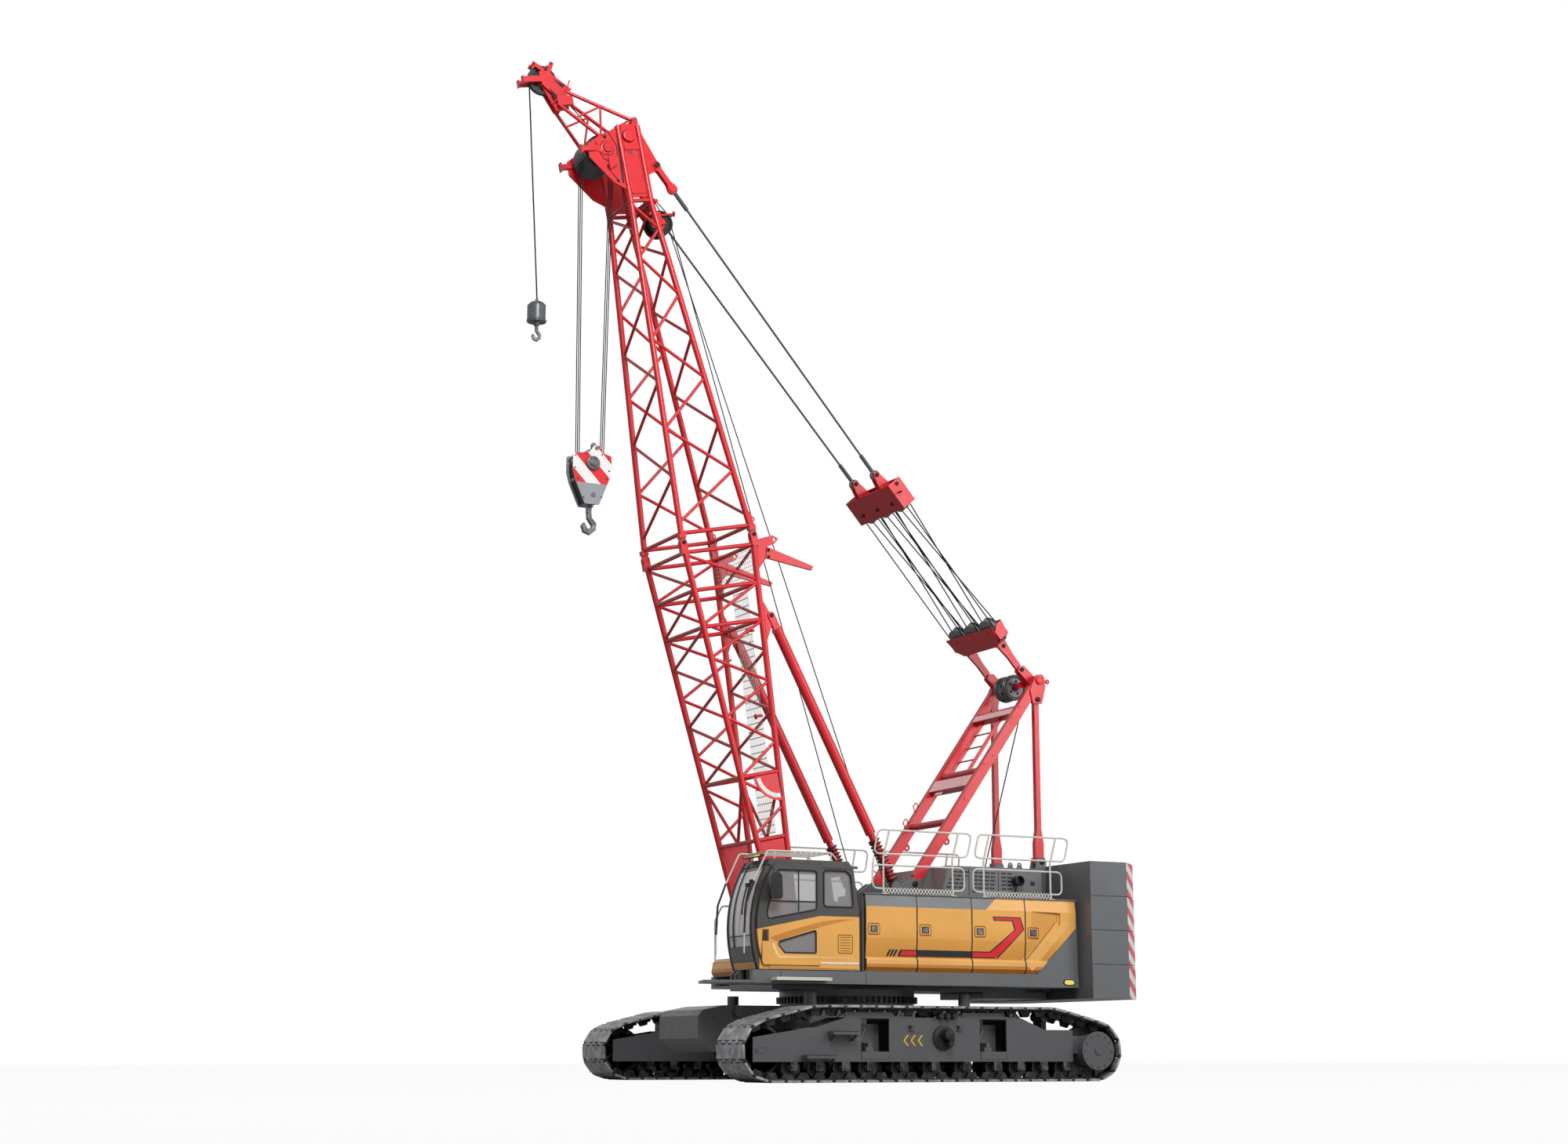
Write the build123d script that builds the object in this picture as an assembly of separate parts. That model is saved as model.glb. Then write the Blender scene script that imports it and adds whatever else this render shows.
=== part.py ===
from build123d import *
from math import asin, atan2, cos, degrees, hypot, pi, radians, sin
import os

os.makedirs("parts", exist_ok=True)

# Crawler crane with a lattice boom, in millimetres.
# +X is the front of the machine, +Y its left side, +Z up.
# The origin is on the slewing axis, at ground level.

# ---------------------------------------------------------------- undercarriage
base_x = 70                      # middle of the undercarriage, ahead of the slewing axis
track_y = 2635                   # centre line of each track, half the gauge
shoe_width = 910
shoe_count = 54
band_thickness = 60              # shoe plate and chain link together
pin_depth = 25                   # hinge pins, outside the wheel treads
shoe_level = 35                  # outer face of a shoe, outside the hinge pins
knuckle_level = 18               # bottom of the groove between two shoes
wheel_span = 5770                # idler axle to drive axle
wheel_radius = 410               # inside of the track at the hinges, about the idlers and drive wheels
tread_radius = 384               # idler tread, which meets the middle of each shoe
carrier_radius = 90
carrier_pitch = 2105
top_run_z = 1140
roller_radius = 160
roller_gaps = (434, 434, 434, 560, 560, 560, 560, 425, 425, 425)      # shares of the roller run
front_roller_gap = 465           # idler axle to the first roller
rear_roller_gap = 488            # last roller to the drive axle
frame_inner_y = track_y - 320
frame_outer_y = track_y + 315
frame_plate = 30
frame_bottom_z = 305
frame_top_z = 962
frame_step_z = 790
front_seat_z = 805               # seats of the front and middle carrier rollers
middle_seat_z = 870
carrier_pocket = 175
carrier_clearance = 17           # the shoes sag this far between hinges as they bend over a carrier
axle_x = 1045                    # cross beams, ahead of and behind the middle
axle_width = 400
axle_bottom_z = 455
axle_height = 490
axle_end_y = track_y + 60        # the beams end inside the track frames
window_width = 490               # opening in a track frame's outer plate
carbody_half_width = 740
carbody_half_length = 2960
carbody_top_z = 1170
jack_place = 1400
jack_radius = 95
jack_top_z = 1365

# ---------------------------------------------------------------- slewing ring
ring_radius = 1160
ring_gear_top_z = 1330
ring_tooth_count = 72
ring_tooth_depth = 40

# ---------------------------------------------------------------- superstructure
deck_low_z = 1430
deck_plate = 60
side_y = 1750                    # outer face of the side beams
beam_width = 120
beam_top_z = 1690
deck_rear_x = -3400
deck_front_x = 2580
lug_y = 667                      # centre plane of boom feet, gantry feet and backstays
lug_thickness = 100
lug_gap = 12
girder_plate = 40
foot_pin_radius = 50
wall = 30
house_front_x = 620
house_inner_y = 860
house_top_z = 2905
door_edges = (600, -338, -1362, -2380, -3380)   # door joints on the left side, front to rear
right_door_edges = (600, -338, -1362)
door_thickness = 40
door_gap = 8
skirt_z = 1890                   # crease above the stepped lower panel
band_z = 2710                    # foot of the grey band along the roof edge
box_front_x = 1640               # front of the low box ahead of the right housing
panel_cut_x = -2576              # foot of the slanted rear edge of the last door
panel_cut_z = 2469               # head of that slanted edge

cab_inner_y = 820
cab_outer_y = 1720
cab_floor_z = 1700
cab_roof_z = 3400
cab_rear_x = 700
cab_split_x = 1405               # joint between door and rear quarter
cab_door_low_y = 1735
cab_door_thickness = 35
cab_wall = 45
glass_low_z = 1830               # foot of the front windscreen
cab_door_travel = 600

hood_half_width = 1250
hood_top_z = 3450
hood_foot_x = -1080
hood_head_x = -1230
hood_rear_x = -3040

slab_count = 4
slab_height = 559
weight_low_z = 1314
weight_front_x = -3474
weight_rear_x = -4610
weight_half_width = 2050
weight_chamfer = 400
slab_groove = 14                 # shadow gap between two slabs

drum_radius = 250
drum_flange_radius = 340
drum_half_width = 480
drum_z = 2400
shaft_radius = 70
drum_front_x = -60
drum_rear_x = -840
luff_drum_x = -2500

# ---------------------------------------------------------------- gantry
gantry_foot = (-876, 3170)       # x and z of the foot pins
gantry_head = (-3417, 6752)
backstay_x = -3370
backstay_low_z = 3620
backstay_high_z = 6415
leg_depth = 170
leg_thickness = 110
link_pin = (-3180, 6950)         # pivot of the luffing tackle on the gantry head
tackle_y = 500
sheave_axis = (-3300, 6700)
gantry_sheave_radius = 225

# ---------------------------------------------------------------- boom
boom_foot = (1338, 1944)         # x and z of the foot pins
boom_angle = 78.1
boom_joint = 6840                # station of the pins between the two sections
joint_half_depth = 642
joint_half_width = 750
joint_eye_half = 26
joint_pin_radius = 26
foot_half_depth = 123
chord_radius = 50
brace_radius = 26
frame_radius = 34
head_start = 12640               # station where the head plates start
head_end = 13970
head_half_width = 455
head_front = -295                # offset of the front and rear chords from the boom axis
head_rear = 70
head_sheave = (13595, -560)      # station and offset of the head sheave pin
head_sheave_radius = 300
head_pin_radius = 60
head_sheave_count = 7
head_sheave_pitch = 78
groove_depth = 36
seat = 0.3                       # running gap of pins, ropes and runners
pendant_pin = (13267, 271)
deflector = (12380, 352)
deflector_radius = 215
tip_sheave = (14954, -1294)
tip_sheave_radius = 250
jib_bore = (13790, -139)
tip_pivots = ((-40, 14080), (570, 13790))    # pins of the tip frame, laid out along the boom's axis
stop_pin = (5476, 705)           # station and offset of the backstop pins
stop_y = 738

# ---------------------------------------------------------------- hooks and tackle
block_x = 4715
block_z = 9811
block_half_width = 150
block_sheave_radius = 235
rope_radius = 12
ball_x = 5686
ball_z = 12270
hook_shank_radius = 48
tackle_sheave_radius = 205
tackle_sheave_pitch = 508
tackle_low = 876                 # distances along the tackle from its pivot
tackle_high = 3685
pendant_low = 4228
pendant_high = 10168
link_plate = 22
stop_foot = (-500, 3136)
rail_radius = 17
toe_slots = 22


# ================================================================ helpers
def box(x_low, x_high, y_low, y_high, z_low, z_high):
    """Block between two corners."""
    return Solid.make_box(x_high - x_low, y_high - y_low, z_high - z_low, Plane(origin=(x_low, y_low, z_low)))


def tube(start, end, radius):
    """Round bar between two points."""
    line = Vector(*end) - Vector(*start)
    return Solid.make_cylinder(radius, line.length, Plane(origin=start, z_dir=line))


def disc(x, z, radius, y_low, y_high):
    """Round bar along Y."""
    return tube((x, y_low, z), (x, y_high, z), radius)


def post(x, y, radius, z_low, z_high):
    """Upright round bar."""
    return tube((x, y, z_low), (x, y, z_high), radius)


def plate(points, y_low, y_high, corner=0):
    """Plate with its outline in X and Z, between two Y planes."""
    face = Face(Wire.make_polygon([Vector(x, y_low, z) for x, z in points], close=True))
    if corner:
        face = face.fillet_2d(corner, face.vertices())
    return Solid.extrude(face, Vector(0, y_high - y_low, 0))


def slab(points, z_low, z_high, corner=0):
    """Plate with its outline in X and Y, between two heights."""
    face = Face(Wire.make_polygon([Vector(x, y, z_low) for x, y in points], close=True))
    if corner:
        face = face.fillet_2d(corner, face.vertices())
    return Solid.extrude(face, Vector(0, 0, z_high - z_low))


def section(points, x_low, x_high):
    """Bar with its outline in Y and Z, between two X planes."""
    face = Face(Wire.make_polygon([Vector(x_low, y, z) for y, z in points], close=True))
    return Solid.extrude(face, Vector(x_high - x_low, 0, 0))


def ball(centre, radius):
    return Solid.make_sphere(radius, Plane(origin=centre))


def eye(x, z, radius, y_mid, thickness):
    """Round eye plate about a pin along Y."""
    return disc(x, z, radius, y_mid - thickness / 2, y_mid + thickness / 2)


def sheave(x, z, radius, y_mid, width, hub=60):
    """Rope sheave on an axis along Y, with its groove."""
    half = width / 2
    web = radius * 0.78
    rim = radius * 0.84
    outline = Polyline(
        (0, -half), (hub, -half), (hub, -half * 0.5), (web, -half * 0.5), (rim, -half),
        (radius, -half), (radius - groove_depth, -rope_radius), (radius - groove_depth, rope_radius), (radius, half),
        (rim, half), (web, half * 0.5), (hub, half * 0.5), (hub, half), (0, half), close=True)
    wheel = revolve(make_face(outline), Axis.Y)
    return wheel.solid().moved(Location((x, y_mid, z)))


def both_sides(*pieces):
    """The pieces and their mirror images on the other side."""
    return [*pieces, *(piece.mirror(Plane.XZ) for piece in pieces)]


def join(pieces):
    """One shape out of pieces that touch."""
    pieces = list(pieces)
    return pieces[0].fuse(*pieces[1:]) if len(pieces) > 1 else pieces[0]


def solids_of(shapes):
    found = []
    for shape in shapes:
        found += shape.solids()
    return found


def save(name, *shapes):
    export_step(Compound(solids_of(shapes)), f"parts/{name}.step")


# ================================================================ tracks
idler_x = base_x + wheel_span / 2
drive_x = base_x - wheel_span / 2
wheel_z = wheel_radius + band_thickness


def common_tangent(near, far):
    """Angle at which the outer tangent above two circles leaves the first; each is x, z and radius."""
    span = hypot(far[0] - near[0], far[1] - near[1])
    lean = atan2(far[1] - near[1], far[0] - near[0])
    return lean + pi / 2 + asin((far[2] - near[2]) / span)


def pin_line():
    """Closed path of the hinge pins, as points in X and Z, from under the idler up round the front."""
    wheel = wheel_radius + pin_depth
    carrier = carrier_radius + pin_depth
    carrier_z = top_run_z - band_thickness - carrier_radius
    front_carrier = (base_x + carrier_pitch, carrier_z, carrier)
    rear_carrier = (base_x - carrier_pitch, carrier_z, carrier)
    front_wheel = (idler_x, wheel_z, wheel)
    rear_wheel = (drive_x, wheel_z, wheel)
    front_angle = common_tangent(front_carrier, front_wheel)
    rear_angle = pi - common_tangent((-rear_carrier[0], carrier_z, carrier), (-drive_x, wheel_z, wheel))
    arcs = (
        (front_wheel, -pi / 2, front_angle, 40),
        (front_carrier, front_angle, pi / 2, 4),
        (rear_carrier, pi / 2, rear_angle, 4),
        (rear_wheel, rear_angle, 3 * pi / 2, 40),
    )
    points = []
    for (x, z, radius), start, end, steps in arcs:
        for step in range(steps + 1):
            turn = start + (end - start) * step / steps
            points.append((x + radius * cos(turn), z + radius * sin(turn)))
    return points


def along(points, count):
    """Points at equal steps round a closed path."""
    closed = points + points[:1]
    lengths = [hypot(b[0] - a[0], b[1] - a[1]) for a, b in zip(closed, closed[1:])]
    pitch = sum(lengths) / count
    found = []
    travelled = 0
    for a, b, length in zip(closed, closed[1:], lengths):
        while length and len(found) < count and len(found) * pitch < travelled + length:
            share = (len(found) * pitch - travelled) / length
            found.append((a[0] + (b[0] - a[0]) * share, a[1] + (b[1] - a[1]) * share))
        travelled += length
    return found


def track_band():
    """One track: a closed chain of flat shoes with hinge knuckles between them."""
    hinges = along(pin_line(), shoe_count)
    outer_profile = ((0.05, knuckle_level), (0.09, shoe_level), (0.91, shoe_level), (0.95, knuckle_level))
    inner_profile = ((0.08, -pin_depth), (0.92, -pin_depth))
    outlines = []
    for profile in (outer_profile, inner_profile):
        points = []
        for a, b in zip(hinges, hinges[1:] + hinges[:1]):
            length = hypot(b[0] - a[0], b[1] - a[1])
            normal = ((b[1] - a[1]) / length, (a[0] - b[0]) / length)
            for share, level in profile:
                points.append((a[0] + (b[0] - a[0]) * share + normal[0] * level,
                               a[1] + (b[1] - a[1]) * share + normal[1] * level))
        outlines.append(points)
    low = track_y - shoe_width / 2
    outer_face, inner_face = (
        Face(Wire.make_polygon([Vector(x, low, z) for x, z in points], close=True)) for points in outlines)
    ring = outer_face.cut(inner_face).faces()[0]
    return Solid.extrude(ring, Vector(0, shoe_width, 0))


def track_frame():
    """Box frame of the left track, open at the ends and below, with windows for the cross beams."""
    front = idler_x + 215
    rear = drive_x + 370
    outline = [
        (front, frame_bottom_z), (front, 660), (2230, front_seat_z), (2120, front_seat_z), (1601, frame_top_z),
        (-1501, frame_top_z), (-1918, frame_step_z), (rear, frame_step_z), (rear, frame_bottom_z)]
    windows = []
    for middle in (base_x + axle_x, base_x - axle_x):
        windows.append(box(middle - axle_width / 2 - seat, middle + axle_width / 2 + seat,
                           frame_inner_y - 100, track_y, axle_bottom_z - seat, axle_bottom_z + axle_height))
        windows.append(box(middle - window_width / 2, middle + window_width / 2,
                           track_y, frame_outer_y + 100, axle_bottom_z - seat, axle_bottom_z + axle_height))
    outer_plate = plate(outline, frame_outer_y - frame_plate, frame_outer_y)
    inner_plate = plate(outline, frame_inner_y, frame_inner_y + frame_plate)
    roof = plate(
        [(2230, front_seat_z - 40), (2230, front_seat_z), (2120, front_seat_z), (1601, frame_top_z),
         (-1501, frame_top_z),
         (-1918, frame_step_z), (rear, frame_step_z), (rear, frame_step_z - 40), (-1930, frame_step_z - 40),
         (-1515, frame_top_z - 40), (1590, frame_top_z - 40), (2110, front_seat_z - 40)],
        frame_inner_y, frame_outer_y)
    floor = box(rear + 60, 2150, frame_inner_y, frame_outer_y, 385, 415)
    low = track_y - carrier_pocket
    high = track_y + carrier_pocket
    pocket = box(base_x - 110, base_x + 110, low, high, middle_seat_z, 1100)
    shelf = box(base_x - 120, base_x + 120, frame_inner_y, frame_outer_y, middle_seat_z - 30, middle_seat_z)
    return join([outer_plate, inner_plate, roof, floor]).cut(*windows, pocket).fuse(shelf)


def roller_places():
    run = wheel_span - front_roller_gap - rear_roller_gap
    places = [idler_x - front_roller_gap]
    for gap in roller_gaps:
        places.append(places[-1] - gap * run / sum(roller_gaps))
    return places


def track_roller(x):
    """Twin-flanged bottom roller on its axle."""
    z = band_thickness + roller_radius
    return join([
        disc(x, z, roller_radius, track_y - 200, track_y - 100),
        disc(x, z, roller_radius, track_y + 100, track_y + 200),
        disc(x, z, roller_radius * 0.7, track_y - 100, track_y + 100),
        disc(x, z, 45, frame_inner_y + 1, frame_outer_y - 1),
        box(x - 65, x + 65, frame_inner_y, frame_inner_y + frame_plate, z - 45, frame_bottom_z - seat),
        box(x - 65, x + 65, frame_outer_y - frame_plate, frame_outer_y, z - 45, frame_bottom_z - seat)])


def carrier_roller(x, seat_z):
    """Top roller on a bracket that stands on the track frame."""
    z = top_run_z - band_thickness - carrier_radius
    return join([
        disc(x, z, carrier_radius - carrier_clearance, track_y - 160, track_y + 160),
        box(x - 45, x + 45, track_y - 120, track_y + 120, seat_z, z)])


def idler():
    """Front wheel with a rim, spokes and a hub, on an axle between the frame plates."""
    rim = disc(idler_x, wheel_z, tread_radius, track_y - 95, track_y + 95).cut(
        disc(idler_x, wheel_z, tread_radius - 70, track_y - 95, track_y + 95))
    hub = disc(idler_x, wheel_z, 110, track_y - 140, track_y + 140)
    axle = disc(idler_x, wheel_z, 60, frame_inner_y + frame_plate, frame_outer_y - frame_plate)
    spokes = [
        tube((idler_x, track_y, wheel_z),
             (idler_x + (tread_radius - 40) * cos(turn), track_y, wheel_z + (tread_radius - 40) * sin(turn)), 38)
        for turn in (radians(30 + 60 * step) for step in range(6))]
    return join([rim, hub, axle, *spokes])


def final_drive():
    """Drive wheel with its reduction gear drum on the outside."""
    wheel = disc(drive_x, wheel_z, tread_radius - 4, track_y - 60, track_y + 60)
    drum = disc(drive_x, wheel_z, 260, track_y - 250, track_y + 420)
    cap = disc(drive_x, wheel_z, 190, track_y + 420, track_y + 470)
    arm = box(drive_x, drive_x + 430, frame_inner_y + frame_plate, frame_outer_y - frame_plate, 430, 700)
    return join([wheel, drum, cap, arm])


def carbody():
    """Centre body between the tracks, with its cross beams, jacks and the seat of the slewing ring."""
    half = carbody_half_length
    top = carbody_top_z
    outline = [
        (base_x + half, 660), (base_x + half, 1010), (base_x + half - 85, 1100), (base_x + half - 450, top),
        (base_x - half + 450, top), (base_x - half + 85, 1100), (base_x - half, 1010), (base_x - half, 660),
        (base_x - half + 260, 455), (base_x + half - 260, 455)]
    body = plate(outline, -carbody_half_width, carbody_half_width)
    beams = [
        box(base_x + side * axle_x - axle_width / 2, base_x + side * axle_x + axle_width / 2,
            -axle_end_y, axle_end_y, axle_bottom_z, axle_bottom_z + axle_height - 80)
        for side in (1, -1)]
    core = slab(
        [(1500, 740), (1500, 1500), (-1500, 1500), (-1500, 740), (-1500, -1500), (1500, -1500)],
        axle_bottom_z + 200, top)
    jacks = [
        post(x, y, jack_radius, 900, jack_top_z) for x in (jack_place, -jack_place) for y in (jack_place, -jack_place)]
    seat = post(0, 0, ring_radius - 60, top, top + 60)
    return join([body, *beams, core, *jacks, seat])


def slewing_gear():
    """Toothed outer ring fixed to the carbody."""
    low = carbody_top_z + 60
    ring = post(0, 0, ring_radius - ring_tooth_depth, low, ring_gear_top_z)
    teeth = []
    for index in range(ring_tooth_count):
        tooth = box(ring_radius - ring_tooth_depth - 10, ring_radius, -22, 22, low, ring_gear_top_z)
        teeth.append(tooth.moved(Location((0, 0, 0), (0, 0, 360 * index / ring_tooth_count))))
    return join([ring, *teeth]).cut(post(0, 0, ring_radius - 260, low - 1, ring_gear_top_z + 1))


# ================================================================ superstructure
girder_inner = lug_y - lug_thickness / 2 - lug_gap - girder_plate
lug_outer = lug_y + lug_thickness / 2 + lug_gap


def girder():
    """Left main girder plate with the bearings of the boom foot, gantry leg and backstay."""
    foot_x, foot_z = boom_foot
    leg_x, leg_z = gantry_foot
    outline = [
        (foot_x + 420, deck_low_z), (foot_x + 420, deck_low_z + 260), (foot_x + 130, foot_z + 60),
        (foot_x + 60, foot_z + 130), (foot_x - 60, foot_z + 130), (foot_x - 500, foot_z + 260),
        (-250, 2900), (leg_x + 300, leg_z - 60), (leg_x + 90, leg_z + 90), (leg_x - 90, leg_z + 90),
        (leg_x - 160, leg_z - 120), (leg_x - 160, house_top_z - 10), (backstay_x + 250, house_top_z - 10),
        (backstay_x + 80, backstay_low_z + 80), (backstay_x - 60, backstay_low_z + 80),
        (backstay_x - 90, backstay_low_z), (deck_rear_x, 2600),
        (deck_rear_x, deck_low_z)]
    inner = plate(outline, girder_inner, girder_inner + girder_plate)
    foot_lug = plate(
        [(foot_x + 420, deck_low_z), (foot_x + 420, deck_low_z + 260), (foot_x + 130, foot_z + 60),
         (foot_x + 60, foot_z + 130), (foot_x - 60, foot_z + 130), (foot_x - 420, foot_z - 100),
         (foot_x - 420, deck_low_z)], lug_outer, lug_outer + girder_plate)
    leg_lug = plate(
        [(leg_x + 320, 2500), (leg_x + 300, leg_z - 60), (leg_x + 90, leg_z + 90), (leg_x - 90, leg_z + 90),
         (leg_x - 160, leg_z - 120), (leg_x - 160, 2500)], lug_outer, lug_outer + girder_plate)
    stay_lug = plate(
        [(backstay_x + 250, house_top_z), (backstay_x + 80, backstay_low_z + 80),
         (backstay_x - 60, backstay_low_z + 80), (backstay_x - 90, backstay_low_z),
         (deck_rear_x - 20, house_top_z)], lug_outer, lug_outer + girder_plate)
    leg_tie = box(leg_x - 160, leg_x + 320, girder_inner, lug_outer + girder_plate, 2500, 2560)
    stay_tie = box(deck_rear_x, backstay_x + 250, girder_inner, lug_outer + girder_plate, house_top_z, house_top_z + 60)
    pins = [
        disc(x, z, foot_pin_radius, girder_inner, lug_outer + girder_plate)
        for x, z in (boom_foot, gantry_foot, (backstay_x, backstay_low_z))]
    return [inner, foot_lug, leg_lug, stay_lug, leg_tie, stay_tie, *pins]


def stop_bracket():
    """Fork of the left backstop foot, on the girder."""
    x, z = stop_foot
    cheeks = [
        plate([(x + 110, 2700), (x + 70, z + 40), (x, z + 70), (x - 70, z + 40), (x - 110, 2700)], low, low + 20)
        for low in (stop_y - 70, stop_y + 50)]
    base = box(x - 110, x + 110, girder_inner, stop_y + 70, 2700, 2740)
    pin = disc(x, z, 30, stop_y - 70, stop_y + 70)
    return [*cheeks, base, pin]


def deck():
    """Slewing platform: floor, girders, side beams and the upper race of the slewing ring."""
    floor = slab(
        [(deck_rear_x, side_y - beam_width), (deck_rear_x, -side_y + beam_width), (box_front_x, -side_y + beam_width),
         (box_front_x, -house_inner_y), (boom_foot[0] + 420, -house_inner_y + 40), (boom_foot[0] + 420, cab_inner_y - 40),
         (deck_front_x, cab_inner_y - 40), (deck_front_x, side_y - beam_width)],
        deck_low_z + deck_plate, deck_low_z + deck_plate + 40)
    bottom = box(-3000, boom_foot[0] + 420, -lug_outer - girder_plate, lug_outer + girder_plate,
                 deck_low_z, deck_low_z + deck_plate + 40)
    left_beam = box(deck_rear_x, deck_front_x, side_y - beam_width, side_y, deck_low_z + deck_plate, beam_top_z)
    right_beam = box(deck_rear_x, box_front_x, -side_y, -side_y + beam_width, deck_low_z + deck_plate, beam_top_z)
    cross_beams = [
        box(x, x + 120, -side_y + 20, side_y - 20, deck_low_z + deck_plate, beam_top_z)
        for x in (deck_rear_x, -2200, -1000, 300)]
    race = post(0, 0, ring_radius - 50, ring_gear_top_z + seat, deck_low_z + 10)
    tail = box(deck_rear_x - 40, -2200, -700, 700, 1330, deck_low_z + 10)
    weight_seats = both_sides(
        box(weight_front_x + seat, deck_rear_x + 60, girder_inner, lug_outer + girder_plate, deck_low_z + 20, 2550))
    pieces = [floor, bottom, left_beam, right_beam, *cross_beams, race, tail, *weight_seats]
    pieces += both_sides(*girder())
    pieces += both_sides(*stop_bracket())
    bearings = [
        disc(x, drum_z, shaft_radius + seat, -girder_inner - girder_plate - 1, girder_inner + girder_plate + 1)
        for x in (drum_front_x, drum_rear_x, luff_drum_x)]
    return join(pieces).cut(*bearings)


def cab_front(offset):
    """Side outline of the cab, moved in by an offset, as a wire at Y = 0."""
    floor = cab_floor_z + offset
    roof = cab_roof_z - offset
    rear_low = (cab_rear_x + offset, 0, floor)
    rear_mid = (cab_rear_x + offset, 0, 2610)
    rear_high = (cab_rear_x + 100 + offset, 0, roof - 110)
    roof_rear = (cab_rear_x + 190 + offset, 0, roof)
    roof_front = (2275 - offset, 0, roof)
    front_low = (2475 - offset, 0, floor)
    front_arc = ThreePointArc(roof_front, (2588 - offset, 0, 2330), front_low)
    path = Polyline(front_low, rear_low, rear_mid, rear_high, roof_rear, roof_front)
    return Face(Wire([*path.edges(), front_arc.edge()]))


def cab_block(offset, y_low, y_high):
    face = cab_front(offset).moved(Location((0, y_low, 0)))
    return Solid.extrude(face, Vector(0, y_high - y_low, 0))


def cab_shell():
    """Cabin body: floor, roof, pillars and the window openings."""
    outer = cab_block(0, cab_inner_y, cab_outer_y)
    inner = cab_block(cab_wall, cab_inner_y + cab_wall, cab_outer_y - cab_wall)
    door_hole = cab_block(cab_wall + 20, cab_outer_y - cab_wall - 1, cab_outer_y + 1).intersect(
        box(cab_split_x, 3000, 0, 3000, cab_floor_z, cab_roof_z - 60)).solids()[0]
    quarter_window = plate(
        [(1330, 2680), (1330, 3250), (930, 3250), (850, 3180), (800, 2680)],
        cab_outer_y - cab_wall - 1, cab_outer_y + 1, 40)
    far_window = cab_block(cab_wall + 90, cab_inner_y - 1, cab_inner_y + cab_wall + 1).intersect(
        box(cab_rear_x + 120, 3000, 0, 3000, 2350, 3250)).solids()[0]
    front_window = box(2200, 3000, cab_inner_y + 60, cab_outer_y - 60, glass_low_z, 3300)
    rear_window = box(cab_rear_x - 10, cab_rear_x + 200, cab_inner_y + 120, cab_outer_y - 120, 2650, 3200)
    roof_window = box(1700, 2150, cab_inner_y + 150, cab_outer_y - 150, cab_roof_z - 60, cab_roof_z + 10)
    runners = [
        box(cab_rear_x + 30, cab_split_x + 880, cab_outer_y - 20, cab_door_low_y - seat, z, z + 40)
        for z in (cab_floor_z + 25, cab_roof_z - 112)]
    mounts = [
        post(x, y, 55, top + seat, cab_floor_z + 10)
        for x in (850, 2350) for y, top in ((cab_outer_y - 50, beam_top_z), (cab_inner_y + 90, deck_low_z + deck_plate + 40))]
    shell = outer.cut(inner, door_hole, quarter_window, far_window, front_window, rear_window, roof_window)
    return join([shell, *runners, *mounts])


def cab_glass():
    """Panes of the cab, each inside its opening."""
    shell = cab_block(12, cab_inner_y + 12, cab_outer_y - 12).cut(cab_block(20, cab_inner_y + 20, cab_outer_y - 20))
    front = shell.intersect(box(2200, 3000, cab_inner_y + 60 + seat, cab_outer_y - 60 - seat, glass_low_z + seat, 3300 - seat))
    quarter = plate(
        [(1330 - seat, 2680 + seat), (1330 - seat, 3250 - seat), (930 + seat, 3250 - seat), (850 + seat, 3180),
         (800 + seat, 2680 + seat)], cab_outer_y - 30, cab_outer_y - 22, 40)
    return [front, quarter]


door_window = [(1490, 2640), (1490, 3220), (2150, 3220), (2330, 2600), (2330, 2480)]
wedge_window = [(1500, 1960), (1500, 2300), (2120, 2120), (2140, 2080), (2040, 1960)]


def cab_door():
    """Sliding door, with the openings of its window and the low wedge window."""
    blank = cab_block(70, cab_door_low_y, cab_door_low_y + cab_door_thickness).intersect(
        box(cab_split_x + 10, 3000, 0, 3000, cab_floor_z + 20, cab_roof_z - 70)).solids()[0]
    openings = [
        plate(outline, cab_door_low_y - 1, cab_door_low_y + cab_door_thickness + 1)
        for outline in (door_window, wedge_window)]
    return blank.cut(*openings)


def drawn_in(outline, gap):
    """Outline with each corner moved towards the middle by a running gap."""
    middle = Vector(sum(x for x, _ in outline) / len(outline), sum(z for _, z in outline) / len(outline))
    points = []
    for corner in outline:
        inward = (middle - Vector(*corner)).normalized() * gap
        points.append((corner[0] + inward.X, corner[1] + inward.Y))
    return points


def door_glass():
    """Panes of the sliding door."""
    low = cab_door_low_y + 10
    return [plate(drawn_in(outline, seat), low, low + 8) for outline in (door_window, wedge_window)]


def operator_seat():
    """Operator's seat with its two control consoles, on the cab floor."""
    floor = cab_floor_z + cab_wall
    middle = (cab_inner_y + cab_outer_y) / 2
    base = box(1150, 1600, middle - 200, middle + 200, floor, floor + 300)
    cushion = box(1120, 1640, middle - 240, middle + 240, floor + 300, floor + 430)
    back = plate([(1060, floor + 380), (1180, floor + 380), (1100, floor + 1050), (980, floor + 1050)],
                 middle - 230, middle + 230, 30)
    consoles = [
        box(1250, 1800, middle + side * 320 - 70, middle + side * 320 + 70, floor, floor + 560) for side in (1, -1)]
    return [join([base, cushion, back]), *consoles]


def door_section():
    """Outline of a side door in Y and Z: grey band, flat panel, crease and stepped skirt."""
    inner = side_y - door_thickness - 35
    return [
        (inner, beam_top_z + door_gap), (side_y - 55, beam_top_z + door_gap), (side_y, beam_top_z + 75),
        (side_y, skirt_z - 10), (side_y - 35, skirt_z + 30), (side_y - 4, skirt_z + 330), (side_y, band_z),
        (side_y - 30, house_top_z - 2 * seat), (inner, house_top_z - 2 * seat), (inner, skirt_z)]


def side_door(front, rear):
    """Hinged side panel between two joints."""
    return section(door_section(), rear + door_gap / 2, front - door_gap / 2)


def latch(front):
    """Latch plate near the free edge of a side door."""
    return box(front - 245, front - 55, side_y - 12, side_y + 2, 2290, 2430)


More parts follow.
